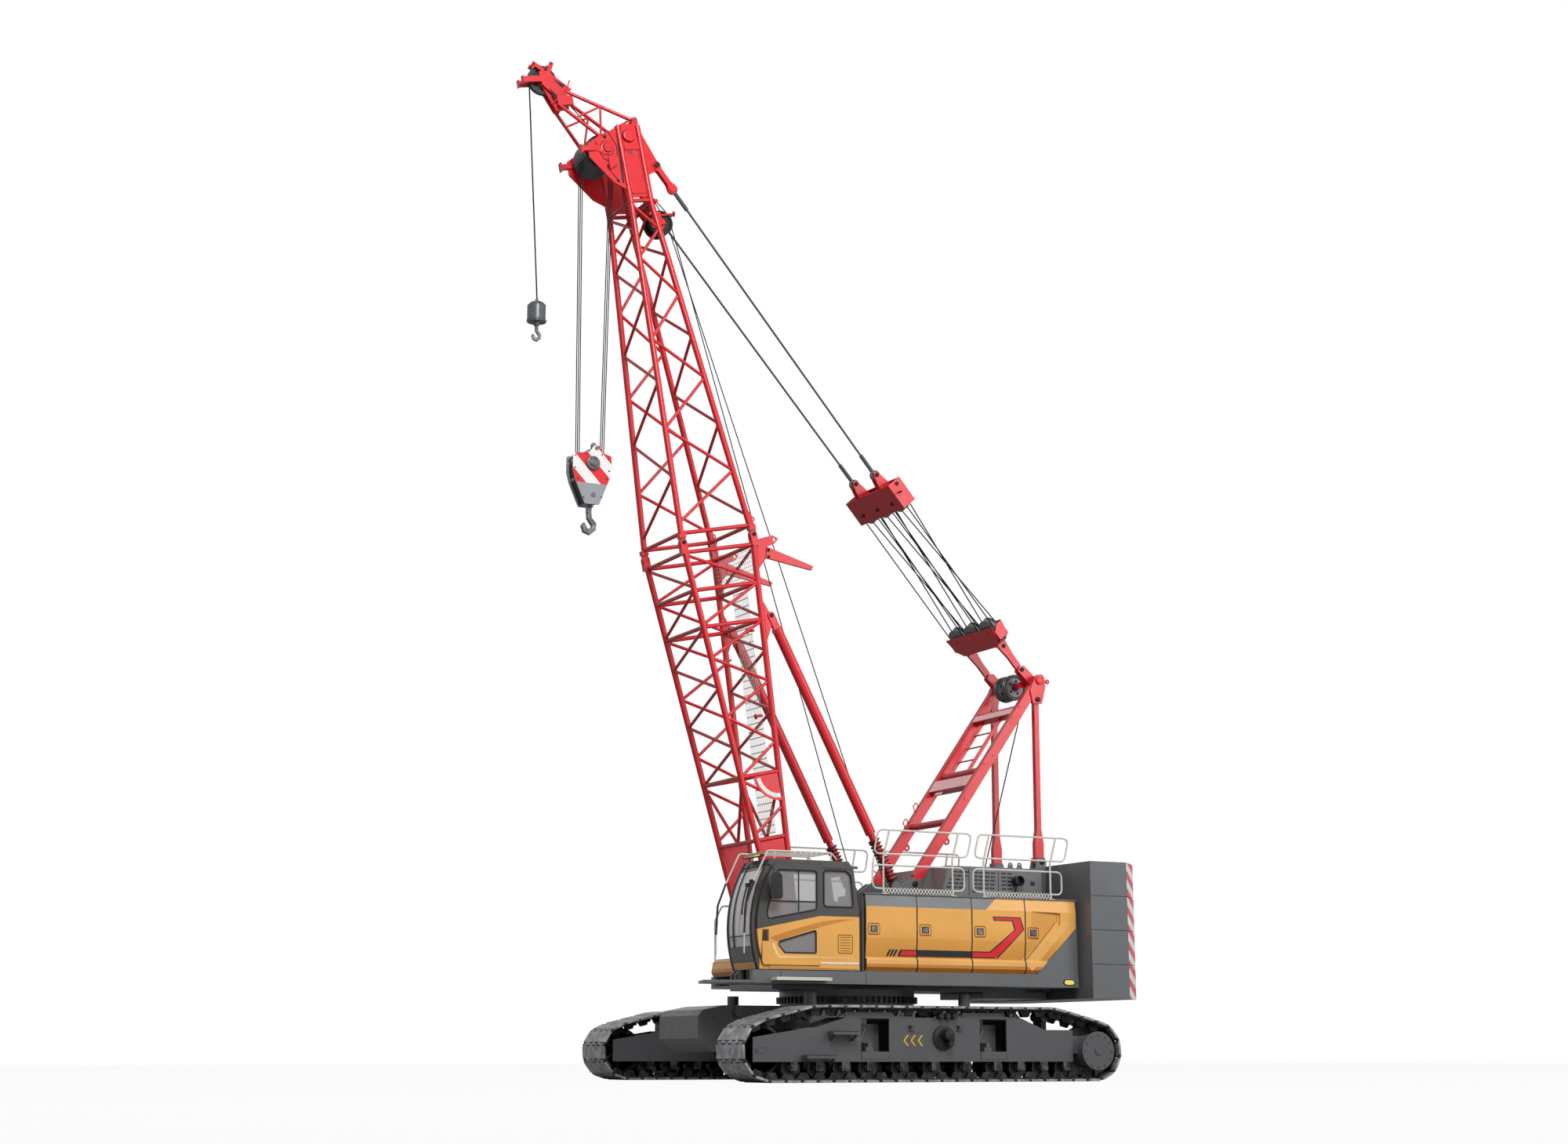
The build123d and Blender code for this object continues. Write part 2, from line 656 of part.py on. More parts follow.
def panel_recess():
    """Hollow that deepens rearward in the last left panel, inside its slanted border."""
    outline = plate(
        [(panel_cut_x + 8, band_z - 15), (-3070, band_z - 17), (-3064, 2500), (panel_cut_x + 101, skirt_z + 20)],
        side_y - 300, side_y + 50)
    front = panel_cut_x + 130
    ramp = slab([(front, side_y), (-3100, side_y - 45), (-3100, side_y + 60), (front, side_y + 60)], skirt_z, band_z)
    return outline.intersect(ramp).solids()[0]


def left_doors():
    doors = []
    for index, (front, rear) in enumerate(zip(door_edges, door_edges[1:])):
        panel = side_door(front, rear)
        if index == len(door_edges) - 2:
            cut = plate(
                [(panel_cut_x, beam_top_z - 10), (rear, panel_cut_z), (rear - 50, panel_cut_z),
                 (rear - 50, beam_top_z - 10)], side_y - 300, side_y + 50)
            panel = panel.cut(cut, panel_recess())
        doors.append(join([panel, latch(front)]))
    return doors


def house_shell(edges, rear):
    """Side housing on the left: roof, floor rail, end walls, inner wall and posts behind the door joints."""
    inner_face = side_y - door_thickness - 35 - door_gap
    outer = box(rear, house_front_x, house_inner_y, inner_face, beam_top_z, house_top_z)
    hollow = box(rear + wall, house_front_x - wall, house_inner_y + wall, inner_face + 1,
                 beam_top_z + wall, house_top_z - wall)
    landing = inner_face + door_gap - seat
    posts = [box(x - 30, x + 30, inner_face - 60, landing, beam_top_z, house_top_z) for x in edges[1:-1]]
    ends = [
        box(house_front_x - wall, house_front_x, inner_face - 60, landing, beam_top_z, house_top_z),
        box(rear, edges[-1] + 30, inner_face - 60, landing, beam_top_z, house_top_z)]
    lip = box(rear, house_front_x, inner_face - 60, side_y - 5, house_top_z - seat, house_top_z + 20)
    sill = box(rear, house_front_x, inner_face - 60, side_y - 30, beam_top_z, beam_top_z + door_gap - seat)
    return join([outer.cut(hollow), *posts, *ends, lip, sill])


def house_left():
    shell = house_shell(door_edges, deck_rear_x)
    corner = plate(
        [(panel_cut_x - 20, beam_top_z), (deck_rear_x, panel_cut_z + 10), (deck_rear_x, beam_top_z)],
        side_y - 120, side_y - 20)
    return join([shell, corner])


def house_right():
    """Right housing, with its tank panel fixed behind the two doors, and the low box ahead of it."""
    shell = house_shell(right_door_edges + (deck_rear_x,), deck_rear_x)
    fixed = join([
        section(door_section(), deck_rear_x, right_door_edges[-1] - door_gap / 2),
        box(deck_rear_x, right_door_edges[-1] - 60, side_y - 200, side_y - 60, beam_top_z, beam_top_z + 60)])
    low_box = plate(
        [(house_front_x, beam_top_z), (box_front_x - 40, beam_top_z), (box_front_x, beam_top_z + 70),
         (box_front_x - 30, beam_top_z + 240), (box_front_x - 110, beam_top_z + 295), (house_front_x, beam_top_z + 310)],
        house_inner_y, side_y)
    return join([shell, fixed, low_box]).mirror(Plane.XZ)


def engine_hood():
    """Hood over the rear bay, with its slanted front and rows of slots."""
    outline = [
        (hood_foot_x, house_top_z), (hood_head_x, hood_top_z), (hood_rear_x, hood_top_z), (hood_rear_x, house_top_z)]
    inner = [
        (hood_foot_x - wall, house_top_z - 1), (hood_head_x - wall, hood_top_z - wall),
        (hood_rear_x + wall, hood_top_z - wall), (hood_rear_x + wall, house_top_z - 1)]
    shell = plate(outline, -hood_half_width, hood_half_width).cut(
        plate(inner, -hood_half_width + wall, hood_half_width - wall))
    rope_slot = box(luff_drum_x - 350, luff_drum_x + 150, -350, 350, hood_top_z - 100, hood_top_z + 10)
    return shell.cut(rope_slot)


def engine():
    """Diesel engine, as one block of its real size."""
    return box(-3000, -1600, house_inner_y + wall + 40, 1560, beam_top_z + wall, 2650)


def weight_outline(inset):
    """Outline of a counterweight slab, drawn in by an inset."""
    wide = weight_half_width - inset
    rear = weight_rear_x + inset
    return [(weight_front_x, wide), (rear + weight_chamfer, wide), (rear, wide - weight_chamfer),
            (rear, weight_chamfer - wide), (rear + weight_chamfer, -wide), (weight_front_x, -wide)]


def counterweight():
    """Stack of cast slabs with chamfered rear corners."""
    slabs = []
    for index in range(slab_count):
        low = weight_low_z + index * slab_height
        high = low + slab_height
        if index == slab_count - 1:
            slabs.append(slab(weight_outline(0), low, high))
        else:
            slabs.append(join([slab(weight_outline(0), low, high - slab_groove),
                               slab(weight_outline(slab_groove), high - slab_groove - 1, high)]))
    return slabs


def winch(x, z, half_width):
    """Grooved hoist drum with its flanges."""
    return join([
        disc(x, z, drum_radius, -half_width, half_width),
        disc(x, z, drum_flange_radius, -half_width - 30, -half_width),
        disc(x, z, drum_flange_radius, half_width, half_width + 30),
        disc(x, z, shaft_radius, -girder_inner - girder_plate + 4, girder_inner + girder_plate - 4)])


# ================================================================ gantry
def gantry_leg(y_mid):
    """Box leg from its foot pin to the gantry head."""
    foot = Vector(gantry_foot[0], 0, gantry_foot[1])
    head = Vector(gantry_head[0], 0, gantry_head[1])
    line = (head - foot).normalized()
    across = Vector(line.Z, 0, -line.X) * (leg_depth / 2)
    low = foot + line * 120
    corners = [low + across, head + across, head - across, low - across]
    half = leg_thickness / 2
    bar = plate([(p.X, p.Z) for p in corners], y_mid - half, y_mid + half)
    foot_eye = eye(foot.X, foot.Z, 85, y_mid, lug_thickness)
    head_eye = eye(head.X, head.Z, 105, y_mid, leg_thickness)
    neck = plate(
        [(p.X, p.Z) for p in (foot + line * 60 + across * 0.8, low + line * 20 + across * 0.8,
                              low + line * 20 - across * 0.8, foot + line * 60 - across * 0.8)],
        y_mid - lug_thickness / 2, y_mid + lug_thickness / 2)
    holes = [
        disc(foot.X, foot.Z, foot_pin_radius + seat, y_mid - 100, y_mid + 100),
        disc(head.X, head.Z, 70 + seat, y_mid - 100, y_mid + 100),
        disc(backstay_x, backstay_high_z, 85, y_mid - 100, y_mid + 100)]
    return join([bar, foot_eye, head_eye, neck]).cut(*holes)


def gantry_legs():
    """Both legs with the cross members between them."""
    foot_x, foot_z = gantry_foot
    head_x, head_z = gantry_head
    ties = []
    for share in (0.3, 0.55, 0.86):
        x = foot_x + (head_x - foot_x) * share
        z = foot_z + (head_z - foot_z) * share
        ties.append(tube((x, -lug_y, z), (x, lug_y, z), 60))
    return join([gantry_leg(lug_y), gantry_leg(-lug_y), *ties])


def gantry_head_frame():
    """Head of the gantry: cheek plates, cross tube, tackle lugs and sheave axle."""
    head_x, head_z = gantry_head
    pin_x, pin_z = link_pin
    half = leg_thickness / 2
    cheek = plate(
        [(head_x - 110, head_z + 40), (head_x - 60, head_z + 110), (head_x + 60, head_z + 90),
         (head_x + 190, head_z - 180), (backstay_x + 90, backstay_high_z - 70), (backstay_x - 90, backstay_high_z - 70),
         (head_x - 120, head_z - 120)], lug_y + half + 1, lug_y + half + 26)
    cross = disc(head_x, head_z, 70, 330, lug_y + half + 40)
    lugs = [
        plate([(head_x - 60, head_z - 60), (head_x - 60, head_z + 60), (pin_x - 50, pin_z + 70),
               (pin_x + 50, pin_z + 60), (pin_x + 70, pin_z - 30), (head_x + 60, head_z - 70)],
              tackle_y + low, tackle_y + low + 25) for low in (-65, 40)]
    sheave_plate = plate(
        [(head_x - 40, head_z - 60), (head_x - 40, head_z + 50), (sheave_axis[0] + 60, sheave_axis[1] + 60),
         (sheave_axis[0] + 60, sheave_axis[1] - 60)], 330, 350)
    axle = disc(sheave_axis[0], sheave_axis[1], 40, -350, 350)
    pins = [
        disc(pin_x, pin_z, 30, tackle_y - 65, tackle_y + 65),
        disc(backstay_x, backstay_high_z, 40, lug_y - half, lug_y + half + 40)]
    return join([axle, *both_sides(cross, cheek, *lugs, sheave_plate, *pins)])


def backstay():
    """Left rear stay of the gantry: a flat bar with an eye at each end."""
    half = 45
    bar = plate(
        [(backstay_x + 85, backstay_low_z), (backstay_x + 85, backstay_low_z + 330),
         (backstay_x + 45, backstay_low_z + 560), (backstay_x + 45, backstay_high_z),
         (backstay_x - 45, backstay_high_z), (backstay_x - 45, backstay_low_z + 560),
         (backstay_x - 85, backstay_low_z + 330), (backstay_x - 85, backstay_low_z)],
        lug_y - half, lug_y + half)
    low = eye(backstay_x, backstay_low_z, 85, lug_y, 2 * half)
    high = eye(backstay_x, backstay_high_z, 75, lug_y, 2 * half)
    holes = [
        disc(backstay_x, backstay_low_z, foot_pin_radius + seat, lug_y - 100, lug_y + 100),
        disc(backstay_x, backstay_high_z, 40 + seat, lug_y - 100, lug_y + 100)]
    return join([bar, low, high]).cut(*holes)


# ================================================================ boom
# The boom is laid out along its own axis: X is minus the offset, Y is across, Z is the station.
boom_place = Location((boom_foot[0], 0, boom_foot[1]), (0, 90 - boom_angle, 0))


def boom_point(station, offset):
    """X and Z in the machine of a point of the boom."""
    lean = radians(boom_angle)
    return (boom_foot[0] + station * cos(lean) - offset * sin(lean),
            boom_foot[1] + station * sin(lean) + offset * cos(lean))


def between(start, end, share):
    return start + (end - start) * share


def base_corner(station, front, left):
    """Chord centre of the base section."""
    share = station / boom_joint
    depth = between(foot_half_depth, joint_half_depth, share)
    width = between(lug_y, joint_half_width, share)
    return (depth if front else -depth, width if left else -width, station)


def top_corner(station, front, left):
    """Chord centre of the top section, which narrows to the head and then runs parallel."""
    share = min((station - boom_joint) / (head_start - boom_joint), 1)
    depth = between(joint_half_depth, -head_front, share) if front else between(-joint_half_depth, -head_rear, share)
    width = between(joint_half_width, head_half_width, share)
    return (depth, width if left else -width, station)


sides = (                        # faces of the lattice, as pairs of chords: (front, left)
    ((True, True), (False, True)),
    ((False, True), (False, False)),
    ((False, False), (True, False)),
    ((True, False), (True, True)),
)


def lattice(corner, nodes, frames, skip_faces=()):
    """Zigzag braces on the four faces and square frames across the chords."""
    bars = []
    for face_index, (first, second) in enumerate(sides):
        if face_index in skip_faces:
            continue
        for index, (low, high) in enumerate(zip(nodes, nodes[1:])):
            start, end = (first, second) if index % 2 == 0 else (second, first)
            bars.append(tube(corner(low, *start), corner(high, *end), brace_radius))
    for station in frames:
        for first, second in sides:
            bars.append(tube(corner(station, *first), corner(station, *second), frame_radius))
    return bars


def chord_bars(corner, low, high):
    return [
        tube(corner(low, front, left), corner(high, front, left), chord_radius)
        for front in (True, False) for left in (True, False)]


def joint_forks():
    """Forks with their pins, at the top of the four chords of the base section."""
    pieces = []
    for front in (True, False):
        for left in (True, False):
            x, y, z = base_corner(boom_joint, front, left)
            pieces.append(box(x - 58, x + 58, y - 58, y + 58, z - 190, z - 75))
            for low in (-58, joint_eye_half + seat):
                high = low + 58 - joint_eye_half - seat
                pieces.append(box(x - 58, x + 58, y + low, y + high, z - 76, z))
                pieces.append(disc(x, z, 58, y + low, y + high))
            pieces.append(disc(x, z, joint_pin_radius, y - 66, y + 66))
    return pieces


def joint_eyes():
    """Eyes at the foot of the four chords of the top section, which seat in those forks."""
    eyes = []
    bores = []
    for front in (True, False):
        for left in (True, False):
            x, y, z = top_corner(boom_joint, front, left)
            eyes.append(box(x - 58, x + 58, y - 58, y + 58, z + 75, z + 150))
            eyes.append(box(x - 55, x + 55, y - joint_eye_half, y + joint_eye_half, z, z + 76))
            eyes.append(disc(x, z, 55, y - joint_eye_half, y + joint_eye_half))
            bores.append(disc(x, z, joint_pin_radius + seat, y - 60, y + 60))
    return eyes, bores


base_nodes = (2960, 3445, 3950, 4430, 4930, 5420)
base_frames = (1920, 2960, 5440, 6050, 6680)
top_nodes = (7180, 7950, 8760, 9560, 10290, 11020, 11700, 12180, 12620)
top_frames = (7000, 12680)
foot_plate_top = 1920
walkway_rungs = 16


def boom_base():
    """Foot section: four chords, braces, side plates and foot eyes."""
    chords = chord_bars(base_corner, 420, boom_joint - 100)
    bars = lattice(base_corner, base_nodes, base_frames)
    for low, high in ((5480, 6050), (6100, 6640)):
        for face_index, (first, second) in enumerate(sides):
            start, end = (first, second) if low < 6000 else (second, first)
            bars.append(tube(base_corner(low, *start), base_corner(high, *end), brace_radius))
    for left in (True, False):
        for low, high, start in ((2020, 2400, True), (2480, 2900, False)):
            bars.append(tube(base_corner(low, start, left), base_corner(high, not start, left), brace_radius))
    for front in (True, False):
        x, y, z = base_corner(1920, front, True)
        for left in (True, False):
            bars.append(tube(base_corner(2900, front, left), (x, 0, z), brace_radius))
    feet = []
    for left in (1, -1):
        face_points = [
            (-foot_half_depth - 40, 330), (-(foot_half_depth + 146), foot_plate_top),
            (foot_half_depth + 146, foot_plate_top), (foot_half_depth + 40, 330), (95, 0), (-95, 0)]
        side_plate = plate(face_points, left * 680 - 18, left * 680 + 18)
        cheek = plate(
            [(-foot_half_depth - 45, 300), (-foot_half_depth - 60, 620), (foot_half_depth + 60, 620),
             (foot_half_depth + 45, 300), (95, 0), (-95, 0)],
            left * lug_y - lug_thickness / 2, left * lug_y + lug_thickness / 2)
        ring = eye(0, 0, 110, left * lug_y, lug_thickness)
        feet += [side_plate, cheek, ring]
    brackets = []
    for left in (1, -1):
        brackets.append(plate(
            [(-600, 6230), (-600, 6740), (-1000, 6790), (-1100, 6720), (-1000, 6640), (-860, 6610), (-820, 6430)],
            left * joint_half_width - 12, left * joint_half_width + 12))
        brackets.append(plate([(-800, 6430), (-850, 6610), (-1640, 6190), (-1600, 6130)],
                              left * joint_half_width - 30, left * joint_half_width + 30))
    stop_lugs = []
    for left in (1, -1):
        station, offset = stop_pin
        lug = plate(
            [(-540, station - 420), (-offset - 60, station - 30), (-offset - 60, station + 40),
             (-offset + 20, station + 70), (-560, station + 380)], left * stop_y - 12, left * stop_y + 12)
        stop_lugs.append(lug)
    body = join([*chords, *bars, *feet, *stop_lugs, *brackets, *joint_forks()])
    return body.cut(disc(0, 0, foot_pin_radius + seat, -900, 900), disc(-1020, 6715, 28, -900, 900)).moved(boom_place)


def head_plate(left):
    """Side plate of the boom head, with the wedge that carries the head sheaves and the pendant ear."""
    mid = left * head_half_width
    main = plate(
        [(-head_front - 12, head_start + 100), (-head_front - 12, head_end - 6), (-head_rear + 12, head_end - 6),
         (-head_rear + 12, head_start + 100)], mid - 15, mid + 15)
    wedge = plate(
        [(288, 12850), (540, 13000), (900, 13450), (890, 13690), (640, 13830), (288, 13955)], mid - 17, mid + 17)
    ear = plate(
        [(-60, 13080), (-150, 13130), (-pendant_pin[1] - 40, pendant_pin[0] - 80),
         (-pendant_pin[1] - 90, pendant_pin[0] + 30), (-pendant_pin[1] - 30, pendant_pin[0] + 90),
         (-60, 13960)], mid - 26, mid + 26)
    boss = disc(-jib_bore[1], jib_bore[0], 105, mid - 45, mid + 45)
    x, z = tip_pivots[0]
    lug = plate([(x - 50, head_end - 40), (x - 50, z + 10), (x, z + 50), (x + 50, z + 10), (x + 90, head_end - 40)],
                mid - 17, mid + 17)
    x, z = tip_pivots[1]
    pin = disc(x, z, 20, *sorted((left * (head_half_width - 55), left * (head_half_width + 30))))
    return [main, wedge, ear, boss, lug, pin]


def boom_top():
    """Head section: tapering chords, braces, head plates and sheave axles."""
    chords = chord_bars(top_corner, boom_joint + 100, head_start)
    for front in (True, False):
        for left in (True, False):
            x, y, z = top_corner(head_start, front, left)
            chords.append(tube((x, y, head_start), (x, y, head_end), chord_radius))
            chords.append(ball((x, y, head_start), chord_radius + 4))
    bars = lattice(top_corner, top_nodes, top_frames)
    plates = head_plate(1) + head_plate(-1)
    station, offset = head_sheave
    axles = [
        disc(-offset, station, head_pin_radius, -head_half_width - 40, head_half_width + 40),
        tube((-head_front, -head_half_width, head_end - 120), (-head_front, head_half_width, head_end - 120), 40),
        tube((-head_rear, -head_half_width, head_end - 60), (-head_rear, head_half_width, head_end - 60), 40)]
    station, offset = deflector
    guides = [
        disc(-offset, station, 35, -200, 200),
        *(plate([(-offset - 60, station - 50), (-offset + 60, station - 50), (-110, station + 250),
                 (-190, station + 300)], y - 10, y + 10) for y in (-190, 0, 190)),
        tube((-110 - 40, -500, station + 270), (-150, 500, station + 270), 34)]
    eyes, bores = joint_eyes()
    body = join([*chords, *bars, *plates, *axles, *guides, *eyes])
    return body.cut(disc(-jib_bore[1], jib_bore[0], 55, -600, 600), *bores).moved(boom_place)


def boom_walkway():
    """Ladder frame of the walkway inside the rear face of the base section, seated on its frames."""
    low, high = 2000, 6600
    start = base_corner(low, False, True)[0]
    end = base_corner(high, False, True)[0]
    inner = frame_radius + 0.4
    slope = (end - start) / (high - low)
    pieces = []
    for y in (-190, 380):
        pieces.append(plate(
            [(start + inner + 35, low), (start + inner, low), (end + inner, high), (end + inner + 35, high)], y, y + 30))
    for index in range(walkway_rungs):
        station = low + 20 + (high - low - 60) * index / (walkway_rungs - 1)
        x = start + inner + slope * (station - low) + 4
        pieces.append(box(x, x + 27, -170, 390, station, station + 20))
    return join(pieces).moved(boom_place)


def tip_frame():
    """Light extension at the boom head that holds the auxiliary sheave."""
    tip_station, tip_offset = tip_sheave
    eye_high = head_half_width - 17 - seat
    eye_low = eye_high - 24
    chord_y = eye_low - 16
    near_tip = 130
    ends = ((930, 14700), (1110, 14480))
    bars = []
    for left in (1, -1):
        starts = []
        for (x, z), (end_x, end_z) in zip(tip_pivots, ends):
            bars.append(tube((x, left * chord_y, z), (end_x, left * near_tip, end_z), 30))
            bars.append(disc(x, z, 50, *sorted((left * (chord_y - 20), left * eye_high))))
            starts.append(((x, z), (end_x, end_z)))
        (high, high_end), (low, low_end) = starts
        middle = (between(high[0], high_end[0], 0.5), left * between(chord_y, near_tip, 0.5),
                  between(high[1], high_end[1], 0.5))
        low_middle = (between(low[0], low_end[0], 0.62), left * between(chord_y, near_tip, 0.62),
                      between(low[1], low_end[1], 0.62))
        brace_y = left * (chord_y - 20)
        brace_foot = (low[0] + 20, brace_y, low[1] + 30)
        bars.append(tube((high[0] + 40, brace_y, high[1] + 27), brace_foot, 18))
        bars.append(tube(middle, brace_foot, 18))
        bars.append(tube(middle, low_middle, 18))
        cheek = plate(
            [(880, 14740), (960, 14830), (-tip_offset - 40, tip_station + 90), (-tip_offset + 70, tip_station + 60),
             (-tip_offset + 80, tip_station - 60), (1160, 14400), (1060, 14400)],
            left * 62 - 12, left * 62 + 12)
        bars.append(cheek)
        bars.append(box(860, 1140, min(left * 60, left * 150), max(left * 60, left * 150), 14480, 14640))
    x, z = tip_pivots[0]
    bars.append(tube((x, -chord_y, z), (x, chord_y, z), 26))
    bars.append(disc(-tip_offset, tip_station, 30, -74, 74))
    pins = [disc(x, z, 20 + seat, -600, 600) for x, z in tip_pivots[1:]]
    return join(bars).cut(*pins).moved(boom_place)


def head_sheaves():
    station, offset = head_sheave
    x, z = boom_point(station, offset)
    return [
        sheave(x, z, head_sheave_radius, head_sheave_pitch * (index - (head_sheave_count - 1) / 2), 68, 90).cut(
            disc(x, z, head_pin_radius + seat, -600, 600)) for index in range(head_sheave_count)]


def deflector_sheaves():
    x, z = boom_point(*deflector)
    return [
        sheave(x, z, deflector_radius, y, 80, 70).cut(disc(x, z, 35 + seat, -600, 600)) for y in (-95, 95)]


def tip_wheel():
    x, z = boom_point(*tip_sheave)
    return sheave(x, z, tip_sheave_radius, 0, 80, 60).cut(disc(x, z, 30 + seat, -600, 600))


# ================================================================ luffing tackle
tackle_far = boom_point(*pendant_pin)
tackle_angle = degrees(atan2(tackle_far[1] - link_pin[1], tackle_far[0] - link_pin[0]))
tackle_length = hypot(tackle_far[1] - link_pin[1], tackle_far[0] - link_pin[0])
# The tackle is laid out along its own axis: Z runs from its pivot to the boom head.
tackle_place = Location((link_pin[0], 0, link_pin[1]), (0, 90 - tackle_angle, 0))
tackle_sheave_ys = (-tackle_sheave_pitch, 0, tackle_sheave_pitch)


def flat_sheave(y, along_z):
    """Sheave that lies across the tackle, its axle at right angles to the ropes."""
    return tube((-32, y, along_z), (32, y, along_z), tackle_sheave_radius)


def lower_tackle():
    """Lower block of the luffing tackle with its links to the gantry head."""
    half = 760
    low, high = tackle_low - 230, tackle_low + 90
    outline = [(-half, high), (-half + 60, low + 60), (-half + 220, low - 60), (half - 220, low - 60),
               (half - 60, low + 60), (half, high)]
    faces = []
    for x in (-125, 110):
        face = Face(Wire.make_polygon([Vector(x, y, z) for y, z in outline], close=True))
        faces.append(Solid.extrude(face, Vector(15, 0, 0)))
    axles = [tube((-125, y, tackle_low), (125, y, tackle_low), 30) for y in tackle_sheave_ys]
    wheels = [flat_sheave(y, tackle_low) for y in tackle_sheave_ys]
    links = []
    for side in (1, -1):
        y = side * tackle_y
        links.append(plate([(-45, 0), (-60, 100), (-60, 300), (-110, low + 40), (110, low + 40), (60, 300),
                            (60, 100), (45, 0)], y - 30, y + 30))
        links.append(eye(0, 0, 62, y, 60))
    body = join([*faces, *axles, *wheels, *links])
    return body.cut(disc(0, 0, 30 + seat, -700, 700)).moved(tackle_place)


def spreader():
    """Upper block of the luffing tackle."""
    half = 760
    low, high = tackle_high - 155, tackle_high + 320
    faces = [box(x, x + 15, -half, half, low, high) for x in (-140, 125)]
    ends = [box(-140, 140, y, y + 20, low, high) for y in (-half, half - 20)]
    axles = [tube((-140, y, tackle_high), (140, y, tackle_high), 30) for y in tackle_sheave_ys]
    wheels = [flat_sheave(y, tackle_high) for y in tackle_sheave_ys]
    lugs = []
    for side in (1, -1):
        for low_y in (-62, 30):
            y = side * 370 + low_y
            lugs.append(plate([(-125, high - 60), (-60, pendant_low), (-30, pendant_low + 60), (30, pendant_low + 60),
                               (60, pendant_low), (125, high - 60)], y, y + 32))
        lugs.append(disc(0, pendant_low, 33 - seat, side * 370 - 70, side * 370 + 70))
    return join([*faces, *ends, *axles, *wheels, *lugs]).moved(tackle_place)


def pendants():
    """Rope pendants from the spreader to the boom head, each with a link at its upper end."""
    pieces = []
    for side in (1, -1):
        y_low = side * 370
        y_high = side * head_half_width
        rope = tube((0, y_low, pendant_low + 90), (0, y_high, pendant_high - 90), 18)
        thimbles = [
            disc(0, pendant_low, 90, y_low - 26, y_low + 26).cut(disc(0, pendant_low, 33, y_low - 100, y_low + 100)),
            disc(0, pendant_high, 90, y_high - 26, y_high + 26)]
        sleeves = [
            tube((0, between(y_low, y_high, 0.02), pendant_low + 85), (0, between(y_low, y_high, 0.07),
                 pendant_low + 430), 34),
            tube((0, between(y_low, y_high, 0.98), pendant_high - 85), (0, between(y_low, y_high, 0.93),
                 pendant_high - 430), 34)]
        links = []
        for low_y in (-26 - link_plate, 26 + seat):
            links.append(plate(
                [(-55, pendant_high - 40), (-70, pendant_high + 40), (-42, pendant_high + 110),
                 (-42, tackle_length - 110), (-70, tackle_length - 30), (-50, tackle_length + 60),
                 (50, tackle_length + 60), (70, tackle_length - 30), (42, tackle_length - 110),
                 (42, pendant_high + 110), (70, pendant_high + 40), (55, pendant_high - 40)],
                y_high + low_y, y_high + low_y + link_plate - seat))
        spacer = disc(0, pendant_high, 36, y_high - 26 - link_plate, y_high + 26 + link_plate)
        pieces.append(join([rope, *thimbles, *sleeves, *links, spacer]))
    return [piece.moved(tackle_place) for piece in pieces]


# ================================================================ backstops
stop_far = boom_point(*stop_pin)
stop_angle = degrees(atan2(stop_far[1] - stop_foot[1], stop_far[0] - stop_foot[0]))
stop_length = hypot(stop_far[1] - stop_foot[1], stop_far[0] - stop_foot[0])
stop_place = Location((stop_foot[0], 0, stop_foot[1]), (0, 90 - stop_angle, 0))


def backstop_rods():
    """Lower rods of the backstops with their buffer springs."""
    pieces = []
    for y in (stop_y, -stop_y):
        ring = eye(0, 0, 60, y, 90).cut(disc(0, 0, 30 + seat, y - 100, y + 100))
        neck = join([tube((0, y, 50), (0, y, 130), 40), tube((0, y, 125), (0, y, 240), 75)])
        spring = tube((0, y, 235), (0, y, 830), 70)
        rod = tube((0, y, 830), (0, y, 3000), 55)
        pieces.append(join([ring, neck, spring, rod]))
    return [piece.moved(stop_place) for piece in pieces]


def backstop_tubes():
    """Upper tubes of the backstops, which slide on the rods and end in forks at the boom."""
    pieces = []
    for y in (stop_y, -stop_y):
        barrel = tube((0, y, 930), (0, y, stop_length - 240), 85).cut(tube((0, y, 929), (0, y, 3060), 55 + seat))
        cheeks = [
            plate([(-60, stop_length - 300), (-60, stop_length + 20), (-30, stop_length + 60),
                   (30, stop_length + 60), (60, stop_length + 20), (60, stop_length - 300)], y + low, y + low + 22)
            for low in (-12 - seat - 22, 12 + seat)]
        head = disc(0, stop_length - 270, 85, y - 12 - seat - 22, y + 12 + seat + 22)
        pieces.append(join([barrel, head, *cheeks]))
    return [piece.moved(stop_place) for piece in pieces]


# ================================================================ hooks
head_x, head_z = boom_point(*head_sheave)
hoist_ys = (-head_sheave_pitch, 0, head_sheave_pitch)
tip_x, tip_z = boom_point(*tip_sheave)


def main_falls():
    """Rope falls of the main hoist, between the sheave grooves."""
    head_reach = head_sheave_radius - groove_depth + rope_radius + seat
    block_reach = block_sheave_radius - groove_depth + rope_radius + seat
    return [
        tube((head_x + side * head_reach, y, head_z), (block_x + side * block_reach, y, block_z), rope_radius)
        for y in hoist_ys for side in (1, -1)]


def hook_shape(x, z, size, thickness):
    """Forged hook with its bowl below the shank, in the X Z plane."""
    bowl = size * 0.62
    path = [
        (x - size * 0.16, z), (x - size * 0.2, z - size * 0.55), (x - bowl, z - size * 1.0),
        (x - bowl * 0.92, z - size * 1.55), (x - bowl * 0.2, z - size * 1.95), (x + bowl * 0.7, z - size * 1.75),
        (x + bowl * 1.0, z - size * 1.25), (x + bowl * 0.72, z - size * 0.95), (x + bowl * 0.5, z - size * 1.2),
        (x + bowl * 0.2, z - size * 1.48), (x - bowl * 0.3, z - size * 1.45), (x - bowl * 0.45, z - size * 1.15),
        (x + size * 0.12, z - size * 0.62), (x + size * 0.16, z)]
    return plate(path, -thickness / 2, thickness / 2, size * 0.04)


